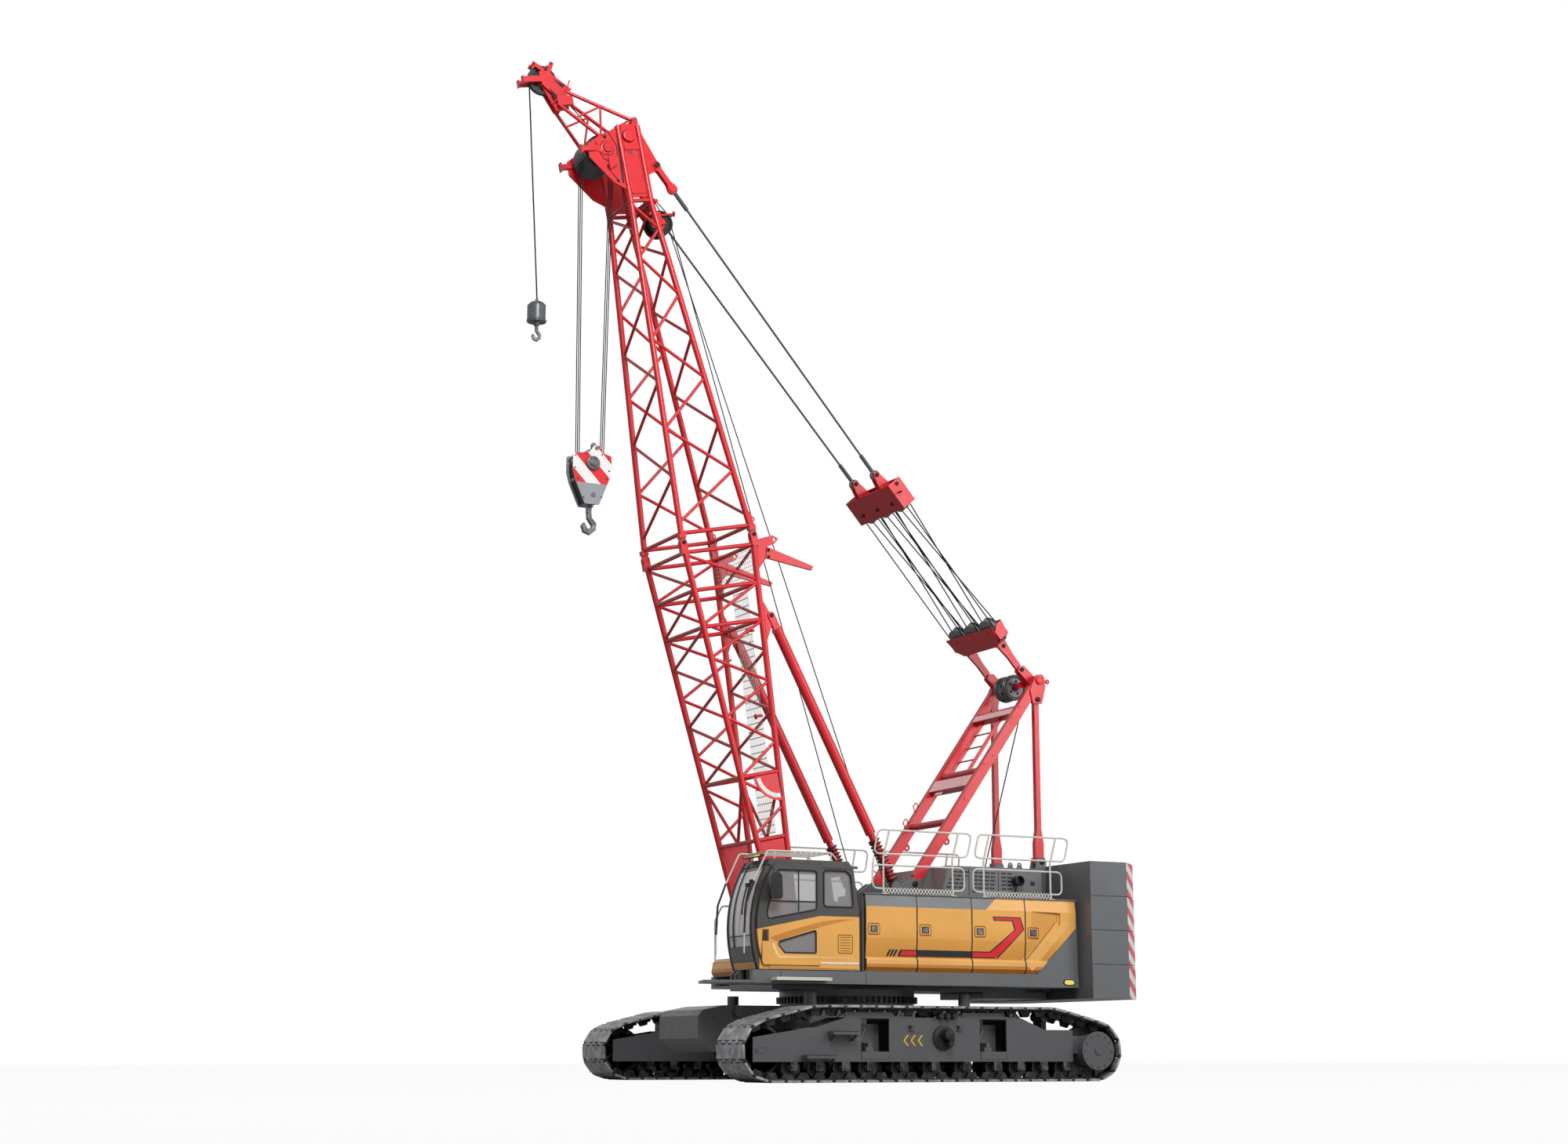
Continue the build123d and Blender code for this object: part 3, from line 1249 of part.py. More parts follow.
def main_block():
    """Hook block: two side plates, three sheaves and spacers."""
    x = block_x
    z = block_z
    outline = [
        (x + 345, z + 140), (x + 60, z + 185), (x - 20, z + 305), (x - 110, z + 305), (x - 180, z + 190),
        (x - 325, z + 150), (x - 335, z - 120), (x - 290, z - 250), (x - 120, z - 680), (x + 130, z - 680),
        (x + 300, z - 300), (x + 345, z - 130)]
    cheeks = both_sides(plate(outline, block_half_width - 20, block_half_width, 30))
    pin = disc(x, z, 70, -block_half_width - 20, block_half_width + 20)
    wheels = [sheave(x, z, block_sheave_radius, y, 68, 70) for y in hoist_ys]
    trunnion = box(x - 90, x + 90, -block_half_width, block_half_width, z - 660, z - 540)
    spacers = [
        disc(x + dx, z + dz, 24, -block_half_width, block_half_width)
        for dx, dz in ((-290, 110), (300, 100), (-60, 280), (-250, -260), (260, -260))]
    return join([*cheeks, pin, *wheels, trunnion, *spacers]).cut(
        tube((x, 0, z - 661), (x, 0, z - 580), hook_shank_radius + seat))


def main_hook():
    shank = tube((block_x, 0, block_z - 800), (block_x, 0, block_z - 581), hook_shank_radius)
    return join([shank, hook_shape(block_x, block_z - 770, 200, 90)])


def aux_fall():
    reach = tip_sheave_radius - groove_depth + rope_radius + 3 * seat
    return tube((tip_x + reach, 0, tip_z), (ball_x, 0, ball_z + 226), rope_radius)


def aux_ball():
    """Overhaul weight of the auxiliary hook, with its rope socket."""
    profile = Wire.make_polygon(
        [Vector(0, 0, -165), Vector(156, 0, -165), Vector(156, 0, 110), Vector(105, 0, 165), Vector(34, 0, 165),
         Vector(26, 0, 225 - seat), Vector(0, 0, 225 - seat)], close=True)
    weight = Solid.revolve(Face(profile), 360, Axis.Z).cut(tube((0, 0, -166), (0, 0, -100), 28 + seat))
    return weight.moved(Location((ball_x, 0, ball_z)))


def aux_hook():
    shank = tube((ball_x, 0, ball_z - 250), (ball_x, 0, ball_z - 101), 28)
    return join([shank, hook_shape(ball_x, ball_z - 240, 130, 50)])


def rail_loop(corners, radius):
    """Closed bent tube through rounded-off corners, as short straight runs with a ball at each bend."""
    bend = 90
    points = []
    count = len(corners)
    for index, corner in enumerate(corners):
        here = Vector(*corner)
        for neighbour in (corners[index - 1], corners[(index + 1) % count]):
            points.append(here + (Vector(*neighbour) - here).normalized() * bend)
    pieces = [tube(tuple(a), tuple(b), radius) for a, b in zip(points, points[1:] + points[:1])]
    return pieces + [ball(tuple(p), radius + 0.5) for p in points]


def handrails():
    """Rail sets on the housings: a lower and an upper loop, two posts and a slotted toe board in each."""
    top = house_top_z
    rails = []
    for front, rear in ((450, -1250), (-1420, -3130)):
        foot = side_y - 40
        head = side_y - 10
        lower = [(front, foot, top + 95), (front, foot, top + 465), (rear, foot, top + 465), (rear, foot, top + 95)]
        upper = [(front - 20, foot, top + 645), (front - 100, head, top + 1025),
                 (rear - 140, head, top + 1025), (rear - 60, foot, top + 645)]
        pieces = rail_loop(lower, rail_radius) + rail_loop(upper, rail_radius)
        low_x, high_x = rear + 220, front - 200
        for x in (low_x, high_x):
            pieces.append(tube((x, foot, top + 20), (x, foot, top + 610), rail_radius))
            pieces.append(tube((x, foot, top + 600), (x - 85, head, top + 1025), rail_radius))
        board = box(low_x, high_x, foot + 5, foot + 13, top + 20, top + 112)
        pitch = (high_x - low_x) / toe_slots
        slots = [
            box(low_x + (index + 0.28) * pitch, low_x + (index + 0.72) * pitch, foot, foot + 20, top + 42, top + 94)
            for index in range(toe_slots)]
        pieces.append(board.cut(*slots))
        rails.append(join(pieces))
    return rails + [rail.mirror(Plane.XZ) for rail in rails]


def steps():
    """Platform ahead of the cab and the step under its door."""
    platform = slab(
        [(deck_front_x, side_y + 60), (2700, side_y + 120), (3300, 1560), (3300, 1480), (3110, 900),
         (deck_front_x, 860)], deck_low_z + 60, deck_low_z + 100)
    step = box(1310, 2270, side_y + seat, side_y + 200, 1530, 1580)
    return [platform, step]


# ================================================================ output
left_track = track_band()
save("track_left", left_track)
save("track_right", left_track.mirror(Plane.XZ))
frame = track_frame()
save("track_frame_left", frame)
save("track_frame_right", frame.mirror(Plane.XZ))
save("track_rollers", *both_sides(*[track_roller(x) for x in roller_places()],
                                  carrier_roller(base_x + carrier_pitch, front_seat_z),
                                  carrier_roller(base_x, middle_seat_z),
                                  carrier_roller(base_x - carrier_pitch, frame_step_z)))
save("idlers", *both_sides(idler()))
save("final_drives", *both_sides(final_drive()))
save("carbody", carbody())
save("slewing_gear", slewing_gear())

save("deck", deck())
save("cab_shell", cab_shell())
save("cab_glass", *cab_glass())
save("cab_seat", *operator_seat())
save("cab_door", cab_door())
save("door_glass", *door_glass())
save("house_left", house_left())
save("house_right", house_right())
doors = left_doors()
for number, door in enumerate(doors, 1):
    save(f"left_door_{number}", door)
for number, (front, rear) in enumerate(zip(right_door_edges, right_door_edges[1:]), 1):
    save(f"right_door_{number}", join([side_door(front, rear), latch(front)]).mirror(Plane.XZ))
save("engine_hood", engine_hood())
save("engine", engine())
save("counterweight", *counterweight())
save("winch_front", winch(drum_front_x, drum_z, drum_half_width))
save("winch_rear", winch(drum_rear_x, drum_z, drum_half_width))
save("winch_luffing", winch(luff_drum_x, drum_z, 400))
save("handrails", *handrails())
save("steps", *steps())

save("gantry_legs", gantry_legs())
save("gantry_head", gantry_head_frame())
save("gantry_backstays", *both_sides(backstay()))
save("gantry_sheaves", *[
    sheave(*sheave_axis, gantry_sheave_radius, y, 70, 70).cut(disc(*sheave_axis, 40 + seat, -600, 600))
    for y in (-150, 130)])

save("boom_base", boom_base())
save("boom_top", boom_top())
save("boom_walkway", boom_walkway())
save("tip_frame", tip_frame())
save("head_sheaves", *head_sheaves())
save("deflector_sheaves", *deflector_sheaves())
save("tip_sheave", tip_wheel())

save("tackle_lower_block", lower_tackle())
save("tackle_spreader", spreader())
save("pendants", *pendants())
save("backstop_rods", *backstop_rods())
save("backstop_tubes", *backstop_tubes())

save("main_falls", *main_falls())
save("main_block", main_block())
save("main_hook", main_hook())
save("aux_fall", aux_fall())
save("aux_ball", aux_ball())
save("aux_hook", aux_hook())
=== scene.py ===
"""Crawler crane, dressed around its packed CAD frame: finishes, ropes, rails, cab fittings and the studio."""

from math import asin, atan2, cos, hypot, pi, radians, sin

import bmesh
import bpy
from bpy.props import FloatProperty, FloatVectorProperty, IntProperty, PointerProperty
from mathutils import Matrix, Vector


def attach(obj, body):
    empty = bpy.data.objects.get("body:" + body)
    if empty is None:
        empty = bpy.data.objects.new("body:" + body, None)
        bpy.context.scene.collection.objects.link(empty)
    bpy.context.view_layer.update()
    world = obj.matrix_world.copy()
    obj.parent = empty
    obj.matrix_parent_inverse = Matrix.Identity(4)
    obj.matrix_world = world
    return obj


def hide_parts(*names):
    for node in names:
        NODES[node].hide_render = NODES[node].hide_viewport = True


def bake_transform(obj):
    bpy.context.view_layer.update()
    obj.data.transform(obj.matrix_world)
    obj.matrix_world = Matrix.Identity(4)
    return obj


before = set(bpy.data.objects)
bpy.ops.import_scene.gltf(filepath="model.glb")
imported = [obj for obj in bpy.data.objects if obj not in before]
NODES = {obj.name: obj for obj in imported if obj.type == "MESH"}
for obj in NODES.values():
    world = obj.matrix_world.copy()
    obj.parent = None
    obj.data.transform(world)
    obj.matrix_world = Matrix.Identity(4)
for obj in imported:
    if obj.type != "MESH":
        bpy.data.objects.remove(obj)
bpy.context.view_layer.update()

bl_info = {
    "name": "Crawler Crane",
    "version": (1, 0, 0),
    "blender": (4, 5, 0),
    "location": "View3D > Sidebar > Crane",
    "description": "Builds the finishes, ropes and fittings of a crawler crane around its CAD frame",
    "category": "Object",
}

FINISH = {}

# Edges that bend by less than the first angle are shaded smooth; those above the second are bevelled.
SMOOTH_BELOW = 32
BEVEL_ABOVE = 40
# Strands laid round a wire rope, as the eye counts them.
ROPE_STRANDS = 6

# Joints between the doors, and the axes of the machine that fittings are laid out along, in metres.
DOOR_JOINTS = (0.600, -0.338, -1.362, -2.380, -3.380)
BOOM_FOOT = (1.338, 1.944)
BOOM_ANGLE = radians(78.1)
TACKLE_PIVOT = (-3.180, 6.950)
TACKLE_ANGLE = radians(48.973)
STOP_FOOT = (-0.500, 3.136)
STOP_ANGLE = radians(62.158)
# Axles and bores on the boom, as station and offset.
HEAD_AXLE = (13.595, -0.560)
JIB_BORE = (13.79, -0.139)
DEFLECTOR = (12.380, 0.352)
TIP_AXLE = (14.954, -1.294)
# Faces, as distances from the machine's middle plane.
HOUSE_FACE = 1.750
HOOD_FACE = 1.2505
CAB_FACE = 1.7205
DOOR_FACE = 1.7705
FRAME_FACE = 2.95
CHASSIS_FACE = 0.735
# The windscreen is an arc; all glass ahead of WINDSCREEN_REAR belongs to it.
SCREEN_CENTRE = (0.6682, 2.3492)
SCREEN_RADIUS = 1.9199
WINDSCREEN_REAR = 2.36
# Winch drums of the hoists, and the drum of the luffing rope.
WINCH_Z = 2.40
WINCH_RADIUS = 0.26
LUFFING_DRUM = (-2.50, 0.18)
GANTRY_SHEAVE = (-3.3, 6.7)
GANTRY_SHEAVE_YS = (-0.15, 0.13)
TACKLE_WHEEL_YS = (-0.508, 0, 0.508)
SIDE = Vector((0, 1, 0))
# How far the foot of the red pendant links lies along the slope of the tackle.
LINKS_START = TACKLE_PIVOT[0] * cos(TACKLE_ANGLE) + TACKLE_PIVOT[1] * sin(TACKLE_ANGLE) + 10.10


# ---------------------------------------------------------------- shape helpers
def on_axis(foot, angle, along, across, y):
    """Point laid out along a slanted axis: across is positive towards the machine's rear and up."""
    return Vector((foot[0] + along * cos(angle) - across * sin(angle), y,
                   foot[1] + along * sin(angle) + across * cos(angle)))


def on_boom(station, offset, y):
    return on_axis(BOOM_FOOT, BOOM_ANGLE, station, offset, y)


def on_tackle(distance, offset, y):
    return on_axis(TACKLE_PIVOT, TACKLE_ANGLE, distance, offset, y)


def on_stop(distance, offset, y):
    return on_axis(STOP_FOOT, STOP_ANGLE, distance, offset, y)


def turns_of(count, first=0.0):
    """Angles, in radians, of equal steps round a circle."""
    return [first + 2 * pi * k / count for k in range(count)]


def across(direction):
    """Two unit vectors at right angles to a direction and to each other."""
    lead = Vector(direction).normalized()
    guess = Vector((0, 1, 0)) if abs(lead.y) < 0.9 else Vector((1, 0, 0))
    first = lead.cross(guess).normalized()
    return first, lead.cross(first)


def circle(centre, first, second, radius, count):
    """Points round a circle in the plane of two unit vectors."""
    return [centre + (first * cos(turn) + second * sin(turn)) * radius for turn in turns_of(count)]


def rounded(points, radius, steps=4, closed=False):
    """A bent rod's line: the points with each corner turned into an arc of the given radius."""
    points = [Vector(p) for p in points]
    count = len(points)
    line = []
    for i, point in enumerate(points):
        if not closed and i in (0, count - 1):
            line.append(point)
            continue
        before = points[i - 1] - point
        after = points[(i + 1) % count] - point
        turn = before.angle(after)
        if turn > pi - 0.02:
            line.append(point)
            continue
        reach = min(radius / max(sin(turn / 2), 0.01) * cos(turn / 2), before.length * 0.48,
                    after.length * 0.48)
        start = point + before.normalized() * reach
        end = point + after.normalized() * reach
        for s in range(steps + 1):
            t = s / steps
            line.append(start * (1 - t) ** 2 + point * 2 * t * (1 - t) + end * t * t)
    return line


class Form:
    """Collects the solids of one piece; paint is the material index of what is added next."""

    def __init__(self):
        self.mesh = bmesh.new()
        self.paint = 0

    def skin(self, rings, closed=False, capped=True):
        """Faces between rings of points, with the first and last ring capped."""
        made = [[self.mesh.verts.new(p) for p in ring] for ring in rings]
        pairs = list(zip(made, made[1:]))
        if closed:
            pairs.append((made[-1], made[0]))
        for low, high in pairs:
            size = len(low)
            for i in range(size):
                j = (i + 1) % size
                self.face(low[i], low[j], high[j], high[i])
        if capped and not closed:
            self.face(*reversed(made[0]))
            self.face(*made[-1])
        return self

    def face(self, *verts):
        face = self.mesh.faces.new(verts)
        face.material_index = self.paint
        return face

    def plate(self, points, offset):
        """Flat outline pushed through by an offset vector."""
        offset = Vector(offset)
        low = [Vector(p) for p in points]
        return self.skin([low, [p + offset for p in low]])

    def box(self, low, high):
        (a, b, c), (d, e, f) = low, high
        return self.plate([(a, b, c), (d, b, c), (d, e, c), (a, e, c)], (0, 0, f - c))

    def slab(self, along_x, along_y, along_z):
        """Box given by its two ends along each axis, in any order."""
        ends = [sorted(pair) for pair in (along_x, along_y, along_z)]
        return self.box(*zip(*ends))

    def panel(self, outline, y, depth):
        """Plate that faces sideways, its corners given as x and z."""
        return self.plate([(x, y, z) for x, z in outline], (0, depth, 0))

    def beam(self, start, end, width, height, up=(0, 0, 1)):
        """Rectangular bar from start to end; height is measured towards up."""
        start, end = Vector(start), Vector(end)
        lead = (end - start).normalized()
        side = lead.cross(Vector(up)).normalized() * (width / 2)
        rise = side.cross(lead).normalized() * (height / 2)
        ring = [side + rise, side - rise, -side - rise, rise - side]
        return self.skin([[start + r for r in ring], [end + r for r in ring]])

    def turned(self, profile, origin, axis, sides=24):
        """Lathe form: profile holds distances along the axis and radii."""
        axis = Vector(axis).normalized()
        origin = Vector(origin)
        first, second = across(axis)
        rings = []
        for height, radius in profile:
            centre = origin + axis * height
            rings.append(circle(centre, first, second, radius, sides))
        return self.skin(rings)

    def rod(self, start, end, radius, sides=12, end_radius=None):
        start, end = Vector(start), Vector(end)
        length = (end - start).length
        return self.turned([(0, radius), (length, radius if end_radius is None else end_radius)],
                           start, end - start, sides)

    def sweep(self, points, radius, sides=8, closed=False):
        """Round bar along a line, without twist."""
        points = [Vector(p) for p in points]
        count = len(points)
        tangents = []
        for i in range(count):
            if closed:
                tangents.append((points[(i + 1) % count] - points[i - 1]).normalized())
            else:
                tangents.append((points[min(i + 1, count - 1)] - points[max(i - 1, 0)]).normalized())
        first, _ = across(tangents[0])
        rings = []
        for point, tangent in zip(points, tangents):
            first = (first - tangent * first.dot(tangent)).normalized()
            second = tangent.cross(first)
            rings.append(circle(point, first, second, radius, sides))
        return self.skin(rings, closed=closed)

    def ring(self, centre, axis, radius, thickness, steps=24, sides=8):
        line = circle(Vector(centre), *across(axis), radius, steps)
        return self.sweep(line, thickness, sides, closed=True)

    def bolt(self, place, axis, size):
        """Hexagon head on a washer; size is across the washer."""
        axis = Vector(axis).normalized()
        self.turned([(0, size / 2), (size * 0.08, size / 2)], place, axis, 12)
        return self.turned([(size * 0.08, size * 0.38), (size * 0.42, size * 0.36)], place, axis, 6)


def make_piece(name, form, body, finishes, bevel=0.0, segments=2):
    """Turns a form into an object with its finishes, riding on a CAD body."""
    mesh = bpy.data.meshes.new(name)
    bmesh.ops.recalc_face_normals(form.mesh, faces=form.mesh.faces)
    form.mesh.to_mesh(mesh)
    form.mesh.free()
    for finish in finishes:
        mesh.materials.append(FINISH[finish])
    mesh.shade_smooth()
    mesh.set_sharp_from_angle(angle=radians(SMOOTH_BELOW))
    piece = bpy.data.objects.new(name, mesh)
    bpy.context.scene.collection.objects.link(piece)
    if bevel:
        edge = piece.modifiers.new("Rounded edges", "BEVEL")
        edge.width = bevel
        edge.segments = segments
        edge.limit_method = "ANGLE"
        edge.angle_limit = radians(BEVEL_ABOVE)
        edge.harden_normals = True
    if body:
        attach(piece, body)
    return piece


# ---------------------------------------------------------------- finishes
def linear(code):
    """sRGB hex colour as linear red, green, blue and alpha."""
    parts = [int(code[i:i + 2], 16) / 255 for i in (1, 3, 5)]
    return tuple(c / 12.92 if c <= 0.04045 else ((c + 0.055) / 1.055) ** 2.4 for c in parts) + (1.0,)


def add(tree, kind, settings=None):
    """Adds one shader node; a setting is an option, a socket's value, or the node or output that feeds it."""
    node = tree.nodes.new("ShaderNode" + kind)
    for key, value in (settings or {}).items():
        if isinstance(value, bpy.types.Node):
            value = value.outputs[0]
        if isinstance(value, bpy.types.NodeSocket):
            tree.links.new(value, node.inputs[key])
        elif isinstance(key, str) and hasattr(node, key):
            setattr(node, key, value)
        else:
            node.inputs[key].default_value = value
    return node


def millimetres(size):
    """Noise scale, in cells per metre, that gives cells of this many millimetres."""
    return 1000.0 / size


def new_material(name):
    """Empty material that knows its place on the machine in metres, the same on every body."""
    material = bpy.data.materials.new(name)
    material.use_nodes = True
    tree = material.node_tree
    tree.nodes.clear()
    add(tree, "TexCoord", {"name": "Place"})
    return material, tree


def place_of(tree):
    return tree.nodes["Place"].outputs["Object"]


def mottle(tree, cell, low=0.0, high=1.0, start=0.0, end=1.0, detail=3.0):
    """Cloudy pattern with cells of so many millimetres, its low to high stretched to start to end."""
    cloud = add(tree, "TexNoise", {
        "Scale": millimetres(cell), "Detail": detail, "Roughness": 0.55, "Vector": place_of(tree)})
    return add(tree, "MapRange", {
        "Value": cloud, "From Min": low, "From Max": high, "To Min": start,
        "To Max": end})


def layered(tree, base, *layers):
    """Base colour with others laid over it in turn, each inside its own mask."""
    for mask, colour in layers:
        base = add(tree, "Mix", {"data_type": "RGBA", 0: mask, 6: base, 7: colour}).outputs[2]
    return base


def inside(tree, *edges):
    """Mask that is 1 where x*a + y*b + z*c is above d for every edge (a, b, c, d)."""
    mask = None
    for a, b, c, d in edges:
        reach = add(tree, "VectorMath", {"operation": "DOT_PRODUCT", 0: place_of(tree), 1: (a, b, c)})
        side = add(tree, "Math", {"operation": "GREATER_THAN", 0: reach.outputs["Value"], 1: d})
        mask = side if mask is None else add(
            tree, "Math", {"operation": "MULTIPLY", 0: mask, 1: side})
    return mask


def either(tree, *masks):
    """Mask that is 1 where any of some masks is."""
    total = masks[0]
    for mask in masks[1:]:
        total = add(tree, "Math", {"operation": "MAXIMUM", 0: total, 1: mask})
    return total


def left_of_line(start, end):
    """Edge (a, b, c, d) for the x and z on the left side of a line drawn from start to end."""
    a, c = -(end[1] - start[1]), end[0] - start[0]
    return a, 0.0, c, a * start[0] + c * start[1]


def polygon(tree, corners):
    """Mask of a convex outline in x and z, its corners given anticlockwise as (x, z)."""
    return inside(tree, *[left_of_line(p, q) for p, q in zip(corners, corners[1:] + corners[:1])])


def between(tree, low, high):
    """Mask of the slice of the machine between two distances along X."""
    return inside(tree, (1, 0, 0, low), (-1, 0, 0, -high))


def enamel(name, colour, gloss=0.38, dust=0.12):
    """Two-pack enamel sprayed on steel plate: soft gloss, slight orange peel, dust held on upward faces."""
    material, tree = new_material(name)
    toned = add(tree, "HueSaturation", {
        "Saturation": 1.02, "Value": mottle(tree, 900, 0.3, 0.7, 0.93, 1.06, 2.0),
        "Color": colour(tree) if callable(colour) else colour})
    normal = add(tree, "NewGeometry").outputs["Normal"]
    upward = add(tree, "SeparateXYZ", {0: normal}).outputs["Z"]
    level = add(tree, "MapRange", {"Value": upward, "From Min": 0.5, "From Max": 1.0, "To Max": dust})
    settled = add(tree, "Math", {"operation": "MULTIPLY", 0: level, 1: mottle(tree, 60)})
    # Orange peel is about 2 mm across; it is drawn at 9 mm so that it shows at all.
    peel = add(tree, "Bump", {"Strength": 0.04, "Distance": 0.001, "Height": mottle(tree, 9, detail=1.0)})
    shader = add(tree, "BsdfPrincipled", {
        "IOR": 1.5, "Coat Weight": 0.25, "Coat Roughness": 0.12,
        "Base Color": layered(tree, toned, (settled, linear("#B9B2A4"))),
        "Roughness": mottle(tree, 160, 0.3, 0.75, gloss - 0.05, gloss + 0.08), "Normal": peel})
    add(tree, "OutputMaterial", {"Surface": shader})
    return material


def cast_metal(name, colour, worn, roughness=0.55, metallic=0.75, cell=14):
    """Cast or forged steel with its skin: grainy, darker in the pits, rubbed bright on the high spots."""
    material, tree = new_material(name)
    point = add(tree, "NewGeometry").outputs["Pointiness"]
    edges = add(tree, "MapRange", {"Value": point, "From Min": 0.50, "From Max": 0.58})
    rubbed = add(tree, "Math", {
        "operation": "MULTIPLY", 0: edges, 1: mottle(tree, 120, 0.42, 0.68)})
    # Sand-cast skin of 1 to 2 mm grit, drawn coarser so that it shows.
    skin = add(tree, "Bump", {"Strength": 0.25, "Distance": 0.002, "Height": mottle(tree, cell, detail=4.0)})
    shader = add(tree, "BsdfPrincipled", {
        "Metallic": metallic, "Base Color": layered(tree, linear(colour), (rubbed, linear(worn))),
        "Roughness": mottle(tree, cell, 0.3, 0.7, roughness - 0.08, roughness + 0.1),
        "Normal": skin})
    add(tree, "OutputMaterial", {"Surface": shader})
    return material


def plain(name, colour, roughness, metallic=0.0, cell=40, coat=0.0):
    """Moulded, rubber, plated or filmed surface: even, with a faint mottle in its tone and gloss."""
    material, tree = new_material(name)
    toned = add(tree, "HueSaturation", {
        "Color": linear(colour), "Value": mottle(tree, cell, 0.3, 0.7, 0.9, 1.08)})
    shader = add(tree, "BsdfPrincipled", {
        "Metallic": metallic, "Coat Weight": coat, "Base Color": toned,
        "Roughness": mottle(tree, cell * 2, 0.3, 0.7, max(roughness - 0.05, 0.02), roughness + 0.05)})
    add(tree, "OutputMaterial", {"Surface": shader})
    return material


def wire_rope(name, lay):
    """Stranded steel rope, greased: dark, with a helical lay read from the length along the rope."""
    material, tree = new_material(name)
    around = add(tree, "UVMap").outputs["UV"]
    split = add(tree, "SeparateXYZ", {0: around})
    climb = add(tree, "Math", {"operation": "MULTIPLY", 0: split.outputs["Y"], 1: 2 * pi / lay})
    turn = add(tree, "Math", {
        "operation": "MULTIPLY_ADD", 0: split.outputs["X"], 1: 2 * pi * ROPE_STRANDS, 2: climb})
    strand = add(tree, "Math", {"operation": "SINE", 0: turn})
    crown = add(tree, "MapRange", {"Value": strand, "From Min": -1, "From Max": 1})
    bump = add(tree, "Bump", {"Strength": 0.6, "Distance": 0.002, "Height": strand})
    shader = add(tree, "BsdfPrincipled", {
        "Metallic": 0.1, "Roughness": 0.7,
        "Base Color": layered(tree, linear("#060607"), (crown, linear("#18191B"))),
        "Normal": bump})
    add(tree, "OutputMaterial", {"Surface": shader})
    return material


def safety_glass(name, side_haze, screen_haze):
    """Laminated cab glass: a haze, thicker on the windscreen, and a hard reflection."""
    material, tree = new_material(name)
    screen = inside(tree, (1, 0, 0, WINDSCREEN_REAR))
    haze = add(tree, "MapRange", {"Value": screen, "To Min": side_haze, "To Max": screen_haze})
    ripple = add(tree, "Bump", {"Strength": 0.02, "Distance": 0.002, "Height": mottle(tree, 300, detail=1.0)})
    shader = add(tree, "BsdfPrincipled", {
        "Roughness": 0.04, "IOR": 1.52, "Alpha": haze,
        "Base Color": layered(tree, linear("#A9A7A9"), (screen, linear("#F2EFF1"))), "Normal": ripple})
    add(tree, "OutputMaterial", {"Surface": shader})
    return material


def woven(name, colour, thread):
    """Seat cloth: plain weave with threads of so many millimetres, dull, with a little sheen."""
    material, tree = new_material(name)
    weave = add(tree, "TexWave", {
        "Scale": millimetres(thread) / 6, "Distortion": 1.0, "Vector": place_of(tree)}).outputs["Fac"]
    bump = add(tree, "Bump", {"Strength": 0.3, "Distance": 0.001, "Height": weave})
    shader = add(tree, "BsdfPrincipled", {
        "Sheen Weight": 0.2, "Roughness": 0.85,
        "Base Color": layered(tree, linear(colour), (weave, linear("#2B2C30"))),
        "Normal": bump})
    add(tree, "OutputMaterial", {"Surface": shader})
    return material


def lamp_lens(name, colour, glow):
    """Moulded polycarbonate lens over a reflector: ribs 12 mm apart, smooth, glowing a little."""
    material, tree = new_material(name)
    ribs = add(tree, "TexWave", {"Scale": millimetres(12) / 6, "Vector": place_of(tree)})
    paler = add(tree, "Math", {"operation": "MULTIPLY", 0: ribs.outputs["Fac"], 1: 0.25})
    shader = add(tree, "BsdfPrincipled", {
        "Roughness": 0.12, "IOR": 1.58, "Emission Strength": glow, "Emission Color": linear(colour),
        "Base Color": layered(tree, linear(colour), (paler, linear("#FFFFFF")))})
    add(tree, "OutputMaterial", {"Surface": shader})
    return material


# ---------------------------------------------------------------- sizes and colours a user would change
def colour_property(label, code, note):
    return FloatVectorProperty(name=label, description=note, subtype="COLOR", size=3, min=0, max=1,
                               default=linear(code)[:3])


def length_property(label, size, note):
    return FloatProperty(name=label, description=note, unit="LENGTH", min=0.0, default=size)


class CranePaint(bpy.types.PropertyGroup):
    """Colours of the enamels."""
    boom: colour_property("Boom", "#E6343B", "Enamel of the boom, gantry and tackle")
    body: colour_property("Body", "#EEAF58", "Enamel of the housings and the cab's lower part")
    trim: colour_property("Trim", "#66686B", "Grey of the deck, counterweight and roof band")
    cab: colour_property("Cab frame", "#44423F", "Dark grey round the cab windows")
    chassis: colour_property("Chassis", "#515154", "Grey of the undercarriage")
    rails: colour_property("Rails", "#D8D3C6", "Pale coating of the rails and steps")
    hood: colour_property("Hood", "#737477", "Grey of the engine hood")
    block: colour_property("Hook block", "#979BA1", "Grey of the hook block below its stripes")
    stripe: colour_property("Stripe", "#E32A2E", "Red of the side stripe and warning stripes")


class CraneRopes(bpy.types.PropertyGroup):
    """Rope sizes."""
    hoist: length_property("Hoist rope", 0.009, "Radius of the hoist ropes")
    luffing: length_property("Luffing rope", 0.0105, "Radius of the ropes of the luffing tackle")
    lay: length_property("Lay length", 0.15, "Length of one turn of a strand round the rope")


class CraneRails(bpy.types.PropertyGroup):
    """Rail sizes."""
    bar: length_property("Bar", 0.0145, "Radius of the tubes of the handrails")
    bend: length_property("Bend", 0.10, "Radius of the bends at the ends of a rail")
    slots: IntProperty(name="Slots", description="Slots in each toe board", min=4, default=22)


class CraneStudio(bpy.types.PropertyGroup):
    """Light and camera."""
    key: FloatProperty(name="Key light", description="Power of the large lamp at the front", unit="POWER",
                       default=6300)
    fill: FloatProperty(name="Fill light", description="Power of the lamp on the camera's side", unit="POWER",
                        default=1500)
    sky: FloatProperty(name="Sky", description="Light from all round", subtype="FACTOR", default=0.28)
    lens: FloatProperty(name="Lens", description="Focal length in millimetres", default=53.55)


def paint(colour):
    return tuple(colour) + (1.0,)


